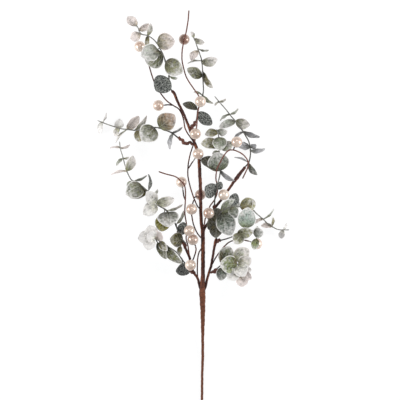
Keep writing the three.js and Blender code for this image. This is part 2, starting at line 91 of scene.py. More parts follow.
# A copy of a pattern with a mesh of its own
def copyPattern(pattern):
    copy = pattern.copy()
    copy.data = pattern.data.copy()
    bpy.context.scene.collection.objects.link(copy)
    return copy


# One shader node with its settings and links. kind is its type without the word ShaderNode, and inputs
# maps a socket's name or number to a value, another node's output, or a node for its first output.
def addNode(tree, kind, inputs=None, **settings):
    node = tree.nodes.new("ShaderNode" + kind)
    for name, value in settings.items():
        setattr(node, name, value)
    for name, value in (inputs or {}).items():
        socket = node.inputs[name]
        if isinstance(value, bpy.types.Node):
            value = next(output for output in value.outputs if output.enabled)
        if isinstance(value, bpy.types.NodeSocket):
            tree.links.new(value, socket)
        else:
            socket.default_value = value
    return node


def newMaterial(name):
    material = bpy.data.materials.new(name)
    material.use_nodes = True
    material.node_tree.nodes.clear()
    return material, material.node_tree


# Studio

studio = {
    "fieldWidth": 0.6,       # metres across the picture
    "fieldHeight": 0.045,    # the height that the width is measured at
    "lens": 200,             # mm, and the width of the sensor behind it
    "sensor": 36,
    "sheetSize": 8,
    "paperColour": "#7e7f80",
    "glowColour": "#ffffff",
    "paperGlow": 0.83,       # light that comes through the milk-white table from below
    "worldColour": "#f3f5f7",
    "worldStrength": 0.36,
    "lightColour": "#ffffff",
    "sideEnergy": 14,
    "sideReach": 1.25,       # metres from the middle to each side softbox
    "sideHeight": 0.62,
    "sideSize": (0.7, 0.55),
    "topEnergy": 12,
    "topPlace": (0.2, 1.3, 2.2),
    "topSize": (1.6, 1.0),
    "aimHeight": 0.04,       # the softboxes face a point this high over the middle
}


def makeTablePaper():
    # Matte white background paper: even and soft, with a faint tooth of about 2 mm
    material, tree = newMaterial("tablePaper")
    coordinates = addNode(tree, "TexCoord")
    tooth = addNode(tree, "TexNoise", {"Vector": coordinates.outputs["Object"], "Scale": 500})
    bump = addNode(tree, "Bump", {"Height": tooth, "Distance": 0.0001})
    shader = addNode(tree, "BsdfPrincipled", {
        "Base Color": linearColour(studio["paperColour"]),
        "Roughness": 0.9,
        "Normal": bump,
        "Emission Color": linearColour(studio["glowColour"]),
        "Emission Strength": studio["paperGlow"],
    })
    addNode(tree, "OutputMaterial", {"Surface": shader})
    return material


bpy.ops.object.select_all(action="DESELECT")
bpy.ops.mesh.primitive_plane_add(size=studio["sheetSize"], location=(fieldMiddle.x, fieldMiddle.y, 0))
tablePaperSheet = bpy.context.object
tablePaperSheet.name = "tablePaperSheet"
tablePaperSheet.data.materials.append(makeTablePaper())

distance = studio["fieldWidth"] * studio["lens"] / studio["sensor"]
cameraData = bpy.data.cameras.new("overheadCamera")
cameraData.lens = studio["lens"]
cameraData.sensor_width = studio["sensor"]
cameraData.clip_end = 50
overheadCamera = bpy.data.objects.new("overheadCamera", cameraData)
overheadCamera.location = (fieldMiddle.x, fieldMiddle.y, studio["fieldHeight"] + distance)
bpy.context.scene.collection.objects.link(overheadCamera)
bpy.context.scene.camera = overheadCamera
bpy.context.scene.view_settings.view_transform = "Standard"


def addSoftbox(name, location, energy, size):
    light = bpy.data.lights.new(name, "AREA")
    light.shape = "RECTANGLE"
    light.size, light.size_y = size
    light.energy = energy
    light.color = linearColour(studio["lightColour"])[:3]
    softbox = bpy.data.objects.new(name, light)
    softbox.location = Vector(location) + fieldMiddle
    aim = Vector((0, 0, studio["aimHeight"])) - Vector(location)
    softbox.rotation_mode = "QUATERNION"
    softbox.rotation_quaternion = aim.to_track_quat("-Z", "Y")
    bpy.context.scene.collection.objects.link(softbox)


for side, name in ((-1, "leftSoftbox"), (1, "rightSoftbox")):
    sidePlace = (side * studio["sideReach"], 0.05, studio["sideHeight"])
    addSoftbox(name, sidePlace, studio["sideEnergy"], studio["sideSize"])
addSoftbox("topSoftbox", studio["topPlace"], studio["topEnergy"], studio["topSize"])

world = bpy.data.worlds.new("studioAir")
world.use_nodes = True
background = world.node_tree.nodes["Background"]
background.inputs["Color"].default_value = linearColour(studio["worldColour"])
background.inputs["Strength"].default_value = studio["worldStrength"]
bpy.context.scene.world = world
print("studio ready")


# Tubes that follow a route: wires, wrapped stems and the stems of the sprigs

def centripetalPoint(before, start, end, after, share):
    gaps = [max((b - a).length ** 0.5, 1e-6) for a, b in ((before, start), (start, end), (end, after))]
    enter = (start - before) / gaps[0] - (end - before) / (gaps[0] + gaps[1]) + (end - start) / gaps[1]
    leave = (end - start) / gaps[1] - (after - start) / (gaps[1] + gaps[2]) + (after - end) / gaps[2]
    enter *= gaps[1]
    leave *= gaps[1]
    square = share * share
    cube = square * share
    return (
        start * (2 * cube - 3 * square + 1)
        + enter * (cube - 2 * square + share)
        + end * (3 * square - 2 * cube)
        + leave * (cube - square)
    )


# A smooth curve through the route's points, cut at even steps: (place, diameter, distance) for each cut
def cutRoute(route, step):
    points = [Vector(point[:3]) for point in route]
    widths = [point[3] for point in route]
    ends = [points[0] * 2 - points[1], *points, points[-1] * 2 - points[-2]]
    fine = []
    for index in range(len(points) - 1):
        for part in range(16):
            share = part / 16
            width = widths[index] * (1 - share) + widths[index + 1] * share
            fine.append((centripetalPoint(*ends[index:index + 4], share), width))
    fine.append((points[-1], widths[-1]))
    travelled = [0.0]
    for (here, _), (there, _) in zip(fine, fine[1:]):
        travelled.append(travelled[-1] + (there - here).length)
    count = max(2, round(travelled[-1] / step))
    cuts = []
    index = 0
    for cut in range(count + 1):
        target = travelled[-1] * cut / count
        while index < len(fine) - 2 and travelled[index + 1] < target:
            index += 1
        part = (target - travelled[index]) / max(travelled[index + 1] - travelled[index], 1e-9)
        part = min(max(part, 0.0), 1.0)
        point = fine[index][0].lerp(fine[index + 1][0], part)
        width = fine[index][1] * (1 - part) + fine[index + 1][1] * part
        cuts.append((point, width, target))
    return cuts


# A grid rolled up round the route. shapeRadius(width, distance, around, left) gives the radius in mm at a
# place, and tone is kept in the piece's own colour attribute for its material.
def rollTube(route, sides, step, shapeRadius, tone, attributeName):
    cuts = cutRoute(route, step)
    rings = len(cuts) - 1
    bpy.ops.object.select_all(action="DESELECT")
    bpy.ops.mesh.primitive_grid_add(x_subdivisions=sides, y_subdivisions=rings, size=1, calc_uvs=True)
    tube = bpy.context.object
    total = cuts[-1][2]
    chord = (cuts[-1][0] - cuts[0][0]).normalized()
    reference = Vector((1, 0, 0)) if abs(chord.z) > 0.75 else Vector((0, 0, 1))
    frames = []
    for index in range(rings + 1):
        tangent = (cuts[min(index + 1, rings)][0] - cuts[max(index - 1, 0)][0]).normalized()
        side = reference.cross(tangent).normalized()
        frames.append((side, tangent.cross(side)))
    for vertex in tube.data.vertices:
        ring = round((vertex.co.y + 0.5) * rings)
        around = vertex.co.x + 0.5
        point, width, distance = cuts[ring]
        radius = shapeRadius(width, distance, around, total - distance)
        side, top = frames[ring]
        angle = 2 * math.pi * around
        vertex.co = place(point + side * math.cos(angle) * radius + top * math.sin(angle) * radius)
    uvLayer = tube.data.uv_layers.active
    uvLayer.name = "wrapMap"
    for loop in uvLayer.data:      # around the tube in turns, along it in centimetres
        loop.uv = (loop.uv.x, loop.uv.y * total / 10)
    colours = tube.data.color_attributes.new(attributeName, "FLOAT_COLOR", "POINT")
    colours.data.foreach_set("color", [*tone, 1.0] * len(tube.data.vertices))
    return tube


# Seams are merged and open ends are filled
def closeTubes(piece):
    selectOnly(piece)
    bpy.ops.object.mode_set(mode="EDIT")
    bpy.ops.mesh.select_all(action="SELECT")
    bpy.ops.mesh.remove_doubles(threshold=1e-7)
    bpy.ops.mesh.select_all(action="SELECT")
    bpy.ops.mesh.fill_holes(sides=0)
    bpy.ops.object.mode_set(mode="OBJECT")


# Wrapped stem

tapeWrap = {
    "stepThick": 1.0,        # mm between rings on the stems
    "stepThin": 1.3,         # mm between rings on the wires
    "sidesTrunk": 20,
    "sidesBranch": 16,
    "sidesWire": 10,
    "wireDiameter": 1.95,
    "pitchThick": 7.5,       # mm along the stem for each turn of the tape
    "pitchThin": 6.0,
    "ridge": 0.16,           # mm that the overlapping edge of the tape stands up
    "lumps": 0.05,           # share of the radius that the bundled wires make uneven
    "jointLumps": 0.17,      # the same at the taped joints, where wire ends are bound in
    "creases": 0.018,        # depth of the cross creases, as a share of the radius
    "roundedEnd": 0.8,       # mm over which an end is pressed in
    "endShare": 0.62,        # share of the radius that is left at the very end
    "wornLength": 200,       # mm from the cut end over which the handle is worn paler
    "reddishWires": (6, 7, 9),      # the long bare tendrils
    "bareTips": (2, 3, 6, 14),      # pearls whose wire tip is bare, pale metal
    "colour": "#432a2a",
    "darkColour": "#241719",
    "paleColour": "#663a20",
    "redColour": "#784f45",
    # the colour of the tape's streaks of painted highlight
    "rustColour": "#94573b",
    "bareColour": "#a8a5a1",
}

mainStem = [
    (3, -304.5, 1.6, 3.7), (3.2, -280, 1.6, 3.7), (3.4, -262, 1.6, 3.7), (4.1, -240, 2.6, 4.1),
    (4.1, -210, 6, 4.3), (4.2, -165, 12, 7.5), (3.6, -141, 17, 9.7), (4.4, -111, 23, 6),
    (4.4, -60, 32, 6), (4.2, -48, 33.5, 6), (2, -33, 36, 5), (1, -6, 40, 5), (0.8, 15, 41.5, 5),
    (-0.6, 45, 44, 5.2), (-1.4, 60, 45, 5), (-4.5, 75, 46, 5), (-8.3, 85.5, 46, 5),
]
branches = [
    # upper left
    [
        (-7, 82, 46, 4.6), (-15, 105, 48, 4), (-26, 132.5, 51, 3.8), (-32.5, 145, 52.5, 3.8),
        (-38.8, 159.8, 54.3, 4.4), (-42.3, 163.5, 55, 4.4),
    ],
    # right, passing under the middle sprig
    [
        (4.3, -50, 33, 4.6), (7.5, -41, 33.5, 4), (12, -35, 34, 4), (20.5, -16.5, 35, 4),
        (23, -11, 35, 3.8), (32, 0, 35, 3.8), (41.7, 14, 33.5, 3.8), (50.5, 26.5, 31, 4.2),
        (55.5, 33.5, 29, 6), (64.2, 44.8, 26.2, 4.4), (68.3, 50, 25, 4.4),
    ],
    # low right
    [
        (5, -138, 17.6, 4.6), (8.5, -130, 19.5, 4), (11, -118.5, 22, 3.8), (14.4, -107, 26, 3.8),
        (16.7, -99.6, 29, 3.8), (18.6, -89, 33, 3.8), (21.3, -72.6, 39, 3.8),
        (22.9, -64, 42.2, 4.6), (24.8, -57.8, 44, 4.4),
    ],
    # low left
    [
        (2.2, -138, 17.6, 4.6), (-0.5, -130, 19.5, 4), (-3.6, -118.5, 22, 3.8), (-9.5, -109, 25, 3.8),
        (-14.4, -97.5, 29, 3.8), (-15.4, -88, 31.5, 3.8), (-23, -70, 36, 3.8),
        (-31.2, -51.5, 39.3, 4.4), (-33.5, -46, 40, 4.4),
    ],
]
# Taped joints that hold the other sprigs
joints = [
    [(-13.5, 102, 47.6, 4.6), (-11, 110.5, 48.4, 5.6), (-8.7, 114, 48.6, 4.8), (-6, 118, 48.8, 4.6)],
    [
        (-8, 82.5, 46, 4.2), (-16, 86, 47, 3.8), (-21, 84.5, 48, 5.6), (-28, 90.3, 48, 4.6),
        (-33, 93.5, 48, 4.6),
    ],
    [(21, -15.5, 35, 3.8), (21.3, -12.5, 37, 4.2), (21.8, -7, 40.5, 4)],
    [(23, -65.5, 41.5, 4.2), (27, -61.5, 44.5, 5.2), (31, -60.5, 46, 4.6)],
    [(15.5, -109.5, 25.2, 2.8), (21, -108, 29, 5), (25.5, -103.5, 33, 4.2)],
    [(-7.5, -112, 24, 4.2), (-11.5, -108.4, 26.7, 5), (-16, -105, 29, 4.6)],
    [(-21.5, -73, 35.3, 4), (-22.3, -68, 38.2, 4.8), (-22.5, -64.5, 41, 4.6)],
]
# Bead wires and bare tendrils, all of one thin wire
wires = [
    # first bead wire, up the left side
    [
        (-8.5, 84, 47), (-11.4, 89.7, 47.5), (-18, 99, 48), (-22.5, 108, 48.5), (-24.5, 120, 49),
        (-27.8, 129.8, 50), (-32, 136.5, 50), (-40.5, 141.8, 50), (-50.9, 149.7, 49), (-57.8, 158.4, 48),
        (-68, 175.5, 46), (-75, 196.5, 44), (-77.3, 204, 43), (-82, 214, 42),
    ],
    [(-40.5, 141.8, 50), (-47, 142.6, 50), (-54, 142, 50)],
    # left of the main stem
    [
        (-0.5, -13, 39.5), (-4, -9, 41), (-7, -2.3, 43), (-10, 5, 44), (-15, 21, 45), (-18, 35.4, 45),
        (-18, 49.5, 45), (-15.6, 65, 45), (-10.5, 81.8, 46),
    ],
    [(-17.6, 47, 45), (-12.8, 54.5, 49), (-10, 58.5, 52)],
    [
        (-8.5, 1, 43.6), (-10.8, -4.5, 41), (-12.6, -13.8, 38), (-12.5, -22.5, 37), (-9.5, -37.5, 36),
        (-4, -50, 34.5), (2.5, -58, 32.6),
    ],
    [(-9, 3, 44), (-8, 4, 38), (-6, 5, 33)],
    # tall tendril
    [
        (-8, 84, 47), (-7, 95, 50.5), (-5, 109.5, 53), (-3.8, 126, 55), (-2.3, 136.5, 55),
        (0.6, 146.6, 55), (-2.1, 156, 55), (-9, 165.8, 55), (-20, 183, 55), (-23.9, 195, 54),
        (-26.6, 207.5, 54), (-27, 219, 55), (-25, 233.4, 57), (-22.2, 244.8, 58), (-20, 254.5, 58),
        (-17.9, 267.8, 57), (-16.5, 283.5, 56),
    ],
    # left tendril
    [
        (-16, -84, 32.5), (-18.6, -66.8, 37), (-20.8, -59, 38), (-20.4, -50, 39), (-20.3, -37.2, 41),
        (-22.8, -18.8, 42), (-22.2, -4.5, 43), (-21.8, 12.8, 43), (-23.4, 21.8, 43), (-28.2, 28.2, 43),
        (-36.8, 35, 44), (-50.3, 38.7, 45), (-62, 42.6, 47),
    ],
    [(-22.2, 0, 43), (-24.6, 7, 41.5), (-25.7, 16, 37)],
    # right tendril with its arch
    [
        (2.5, -42, 35), (6.2, -37.5, 37), (8, -27.8, 40), (13, -19.8, 43), (14.3, -10.7, 42),
        (22.4, 1.4, 38.5), (25.8, 10.5, 40), (25.8, 22, 44), (24, 30, 51.5), (24, 38, 60.5),
        (25.8, 47.6, 67.5), (31, 58, 71), (35.6, 66, 72), (41.4, 72.9, 70), (48.8, 74.6, 66.5),
        (57.5, 71.7, 68), (66, 66, 66), (71.3, 57.9, 62), (71.3, 48.8, 57), (67.8, 40.7, 53),
        (63.8, 32.1, 50),
    ],
    # low wires
    [(-14.4, -97.5, 29), (-10, -88.8, 33), (-6, -75, 37), (-6.5, -70, 39)],
    [(-3.6, -118.5, 22), (-4, -105, 25), (-3.6, -90, 28), (-1.5, -79, 29.5), (3, -72, 30)],
    [
        (18, -97.5, 30), (23, -88, 33), (26.4, -82.4, 35), (35, -71.4, 37), (43, -64, 38),
        (51.8, -60.5, 38), (66, -60.3, 37), (74, -62, 36),
    ],
]
# Pearls: centre, and the wire point that the straight tip starts from
pearls = [
    ((-90.3, 230.5, 41), (-82, 214, 42)),
    ((-23.6, 240.8, 46.5), (-23.2, 241, 57.6)),
    ((-62.4, 141.6, 50), (-54, 142, 50)),
    ((-28, 27, 32), (-25.7, 16, 37)),
    ((0.6, 146.6, 68), (0.6, 146.6, 55)),
    ((-7, 98.7, 64), (-7.4, 92, 49.6)),
    ((-2.8, 69, 58), (-10, 58.5, 52)),
    ((54.6, 86.3, 69), (49.5, 74.6, 66.2)),
    ((-12.6, -13.8, 50), (-12, -10, 39.2)),
    ((-16, -46, 57.5), (-20.3, -47, 39.3)),
    ((0.5, 7.8, 28), (-6, 5, 33)),
    ((13, -19.8, 58.5), (13, -19.8, 43)),
    ((35.6, 7.8, 51), (36, 6.5, 34.6)),
    ((-10.7, -59.4, 46.5), (-6.5, -70, 39)),
    ((85.5, -65.9, 35), (74, -62, 36)),
    ((-14.3, -97.8, 43), (-14.6, -96.5, 29.4)),
]


# The radius of a taped wire bundle in mm: three wires show through, with knobs and creases in the paper
def tapeRadius(pitch, sway, lumps):
    def radiusAt(width, distance, around, left):
        turn = (distance / pitch - around) % 1
        ridge = tapeWrap["ridge"] * (turn ** 3)
        bundle = math.sin(6 * math.pi * around + distance * 0.35 + sway)
        bundle += math.sin(distance * 0.9 + sway * 2 + 2 * math.pi * around) * (lumps / 0.08)
        crease = math.sin(distance * 1.9 + sway * 3) * math.sin(around * 10 * math.pi + sway)
        radius = width / 2 * (1 + lumps * bundle + tapeWrap["creases"] * crease) + ridge * min(1, width / 3)
        pressed = 1 - min(1, min(distance, left) / tapeWrap["roundedEnd"])
        return radius * (1 - pressed * (1 - tapeWrap["endShare"]))
    return radiusAt


def wireRoute(points):
    return [(*point, tapeWrap["wireDiameter"]) for point in points]


def pearlTip(centre, start):
    heart = Vector(centre)
    root = Vector(start)
    end = heart - (heart - root).normalized() * 2.2      # inside the bead's hole
    return wireRoute([tuple(root), tuple(root.lerp(end, 0.5)), tuple(end)])


def makePaperTape():
    # Brown crepe floral tape, wound in a spiral over wire: dry matte paper with raised overlapping
    # edges, fine cross creases about 0.6 mm apart, painted shade along the lapped edges, long rust-orange
    # streaks of painted highlight, and worn paler at the handle
    material, tree = newMaterial("crepePaperTape")
    wrapMap = addNode(tree, "UVMap", uv_map="wrapMap")
    tone = addNode(tree, "Attribute", attribute_name="tapeTone")
    toneParts = addNode(tree, "SeparateColor", {"Color": tone})
    parts = addNode(tree, "SeparateXYZ", {"Vector": wrapMap})
    coordinates = addNode(tree, "TexCoord")
    turns = addNode(tree, "Math", {0: parts.outputs["Y"], 1: 10 / tapeWrap["pitchThick"]},
                    operation="MULTIPLY")
    winding = addNode(tree, "Math", {0: turns, 1: parts.outputs["X"]}, operation="SUBTRACT")
    lap = addNode(tree, "Math", {0: winding}, operation="FRACT")
    lapEdge = addNode(tree, "ValToRGB", {"Fac": lap})
    lapSteps = lapEdge.color_ramp.elements
    lapSteps[1].position = 0.16
    for position, grey in ((0.9, 1), (1.0, 0.25)):
        lapSteps.new(position).color = (grey, grey, grey, 1)
    # dye stains about 11 mm across, and fibres of 0.7 mm: coarser than real ones, so that they show
    stains = addNode(tree, "TexNoise", {
        "Vector": coordinates.outputs["Object"], "Scale": 90, "Detail": 4, "Roughness": 0.6,
    })
    fibres = addNode(tree, "TexNoise", {
        "Vector": coordinates.outputs["Object"], "Scale": 1400, "Detail": 3, "Roughness": 0.7,
    })
    creaseMap = addNode(tree, "Mapping", {"Vector": wrapMap, "Scale": (3, 17, 1)})
    creases = addNode(tree, "TexNoise", {
        "Vector": creaseMap, "Scale": 1, "Detail": 3, "Roughness": 0.6,
    })
    stainRange = addNode(tree, "MapRange", {"Value": stains, "From Min": 0.38, "From Max": 0.62})
    plain = addNode(tree, "Mix", {
        "Factor": stainRange,
        "A": linearColour(tapeWrap["darkColour"]), "B": linearColour(tapeWrap["colour"]),
    }, data_type="RGBA")
    # long rusty streaks where the paper stretched and its dye thinned
    # long rust-orange streaks along the tape: painted highlights
    streakMap = addNode(tree, "Mapping", {"Vector": wrapMap, "Scale": (2.5, 0.35, 1)})
    streaks = addNode(tree, "TexNoise", {
        "Vector": streakMap, "Scale": 1, "Detail": 3, "Roughness": 0.55,
    })
    paintedHighlightRange = addNode(tree, "MapRange", {
        "Value": streaks, "From Min": 0.46, "From Max": 0.6, "To Min": 0, "To Max": 0.9,
    }, interpolation_type="SMOOTHSTEP")
    streaked = addNode(tree, "Mix", {
        "Factor": paintedHighlightRange,
        "A": plain, "B": linearColour(tapeWrap["rustColour"]),
    }, data_type="RGBA")
    # worn at the handle, reddish on the joints and tendrils, and bare metal at a few tips
    paper = streaked
    for part, colour in (("Red", "paleColour"), ("Green", "redColour"), ("Blue", "bareColour")):
        paper = addNode(tree, "Mix", {
            "Factor": toneParts.outputs[part], "A": paper, "B": linearColour(tapeWrap[colour]),
        }, data_type="RGBA")
    # painted shade: the paper colour is darkened along each lapped edge
    lapPaintedShade = addNode(tree, "MapRange", {"Value": lapEdge, "To Min": 0.55, "To Max": 1.0})
    fibreRange = addNode(tree, "MapRange", {
        "Value": fibres, "From Min": 0.3, "From Max": 0.7, "To Min": 0.78, "To Max": 1.2,
    })
    shade = addNode(tree, "Math", {0: lapPaintedShade, 1: fibreRange}, operation="MULTIPLY")
    shaded = addNode(tree, "VectorMath", {0: paper, "Scale": shade}, operation="SCALE")
    roughness = addNode(tree, "MapRange", {"Value": fibres, "To Min": 0.62, "To Max": 0.92})
    relief = addNode(tree, "Math", {0: creases, 1: lapEdge}, operation="ADD")
    bump = addNode(tree, "Bump", {"Height": relief, "Strength": 0.7, "Distance": 0.0002})
    shader = addNode(tree, "BsdfPrincipled", {
        "Base Color": shaded,
        "Roughness": roughness,
        "Normal": bump,
        "IOR": 1.45,
        "Specular IOR Level": 0.3,
    })
    addNode(tree, "OutputMaterial", {"Surface": shader})
    return material


def tapedTube(route, sides, tone, sway, lumps=tapeWrap["lumps"]):
    thick = route[0][3] > 2.5      # mm, or else a single wire
    pitch = tapeWrap["pitchThick"] if thick else tapeWrap["pitchThin"]
    step = tapeWrap["stepThick"] if thick else tapeWrap["stepThin"]
    return rollTube(route, sides, step, tapeRadius(pitch, sway, lumps), tone, "tapeTone")


# The tone of each tube is how worn, how red and how bare its tape is
def buildWrappedStem():
    tubes = [tapedTube(mainStem, tapeWrap["sidesTrunk"], (0, 0, 0), 0.4)]
    wear = tubes[0].data.color_attributes["tapeTone"]
    for vertex, colour in zip(tubes[0].data.vertices, wear.data):
        fromEnd = (vertex.co.y - stemLow.y) / mm
        worn = 0.85 * min(1, max(0, (tapeWrap["wornLength"] - fromEnd) / 70)) + 0.15
        colour.color = (worn, 0.25, 0, 1)
    for index, route in enumerate(branches):
        tubes.append(tapedTube(route, tapeWrap["sidesBranch"], (0.1, 0.1, 0), index * 1.3))
    for index, route in enumerate(joints):
        tubes.append(tapedTube(
            route, tapeWrap["sidesBranch"], (0, 0.7, 0), index * 2.1, tapeWrap["jointLumps"],
        ))
    for index, points in enumerate(wires):
        red = 0.9 if index in tapeWrap["reddishWires"] else 0.0
        tubes.append(tapedTube(wireRoute(points), tapeWrap["sidesWire"], (0.1, red, 0), index * 0.9))
    for index, (centre, start) in enumerate(pearls):
        bare = 0.8 if index in tapeWrap["bareTips"] else 0.0
        tubes.append(tapedTube(pearlTip(centre, start), tapeWrap["sidesWire"], (0, 0, bare), index * 0.7))
    stem = joinPieces(tubes, "paperWrappedStem")
    for vertex in stem.data.vertices:      # the tape is pressed flat where the handle lies on the floor
        vertex.co.z = max(vertex.co.z, 0)
    closeTubes(stem)
    stem.data.materials.append(makePaperTape())
    selectOnly(stem)
    bpy.ops.object.shade_smooth_by_angle(angle=math.radians(50))
    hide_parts("wrapped_stem")
    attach(stem, "root")
    return stem


paperWrappedStem = buildWrappedStem()
print("wrapped stem", len(paperWrappedStem.data.polygons), "faces")


# Leafy sprigs

# Tone of a leaf: colour of the blade, colour near its root, how far that root colour reaches, how much
# white flocking it carries, how white its rim is and how strongly the pale net of veins shows
leafTones = {
    "sage": ("#5f6853", "#4b4d24", 0.65, 0.20, 0.85, 0.35),
    "netSage": ("#4d5545", "#444a28", 0.50, 0.14, 0.85, 0.55),
    "silver": ("#8a8f83", "#3e3f1a", 0.55, 0.34, 0.95, 0.40),
    "pale": ("#8c8e7c", "#62642f", 0.65, 0.52, 0.95, 0.12),
    "mossy": ("#74733a", "#463f10", 0.90, 0.14, 0.85, 0.18),
    "shell": ("#ab9c8f", "#4b4d22", 0.95, 0.32, 0.95, 0.10),
    "blush": ("#c4b8b0", "#8a7d62", 0.45, 0.85, 0.95, 0.05),
    "white": ("#d6d4cf", "#b0af9c", 0.35, 0.90, 1.00, 0.06),
    "green": ("#5d6834", "#46480f", 0.80, 0.10, 1.00, 0.15),
    "olive": ("#615b25", "#3b330d", 0.85, 0.05, 0.90, 0.15),
    "mottled": ("#464b27", "#2c290f", 0.75, 0.06, 0.90, 0.40),
    "moss": ("#6b6c40", "#33300f", 0.80, 0.12, 1.00, 0.25),
    "gold": ("#726e22", "#4a4413", 0.60, 0.00, 0.30, 0.02),
    "folded": ("#565829", "#2c290b", 0.90, 0.06, 0.62, 0.12),
    "teal": ("#74857a", "#5a6030", 0.45, 0.24, 1.00, 0.45),
    "copper": ("#8a6549", "#4a5032", 0.95, 0.08, 0.50, 0.35),
    "slate": ("#77777c", "#45453e", 0.50, 0.16, 0.35, 0.30),
    "bowl": ("#64675a", "#23210a", 0.95, 0.34, 0.85, 0.05),
    "umber": ("#524d19", "#221c06", 0.90, 0.00, 0.40, 0.08),
    "streaked": ("#4a4f2a", "#34310f", 0.60, 0.26, 1.00, 0.28),
    "chalk": ("#bfbdb5", "#8a8970", 0.50, 0.70, 1.00, 0.12),
    "dusk": ("#1b1d1e", "#1c1d17", 0.30, 0.00, 0.05, 0.90),
    "duskSage": ("#38423a", "#31351b", 0.60, 0.06, 0.70, 0.65),
    "duskOlive": ("#322e17", "#352c0e", 0.70, 0.00, 0.10, 0.28),
}
leafBlade = {
    "columns": 8,
    "rows": 18,
    "stalkRows": 3,          # rows of the blade's grid that make its short stalk
    "thickness": 0.55,       # mm
    "rimThickness": 0.85,    # the flocked edge is a little fuller
    "stalkWidth": 1.3,
    "bow": 0.06,             # rise of the middle, as a share of the length
    "ripple": 0.085,         # wave of the edge, as a share of the half width
    "cup": 0.18,             # rise of the blade from its midrib outwards, for each mm
    "stalkWall": 0.45,       # half the thickness of the stalk
    "rimReach": 1.2,         # mm from the edge in which the wall swells
    "grooveDepth": 0.4,      # pressed midrib
    "grooveWidth": 0.9,
    "whiteRim": 4,           # mm that the white reaches in from the edge of a wide leaf
    "wideLeaf": 26,
    "bareRoot": 0.3,         # share of the length that has no white edge
    "tipCurl": 0.05,         # turn-up of the tip, as a share of the length
    "frostColour": "#eae9e7",
    "blushColour": "#ece1dd",
    "netColour": "#aeb1aa",
    "rustColour": "#6e5530",
    "stemColour": "#232019",
    "stemTipColour": "#4e4d40",
}
sprigStem = {
    "startWidth": 2.2,
    "endWidth": 1.6,
    "sides": 10,
    "step": 1.6,
    "swelling": 0.38,        # mm that the stem is fuller at each leaf, and how far that reaches
    "swellingReach": 1.6,
}
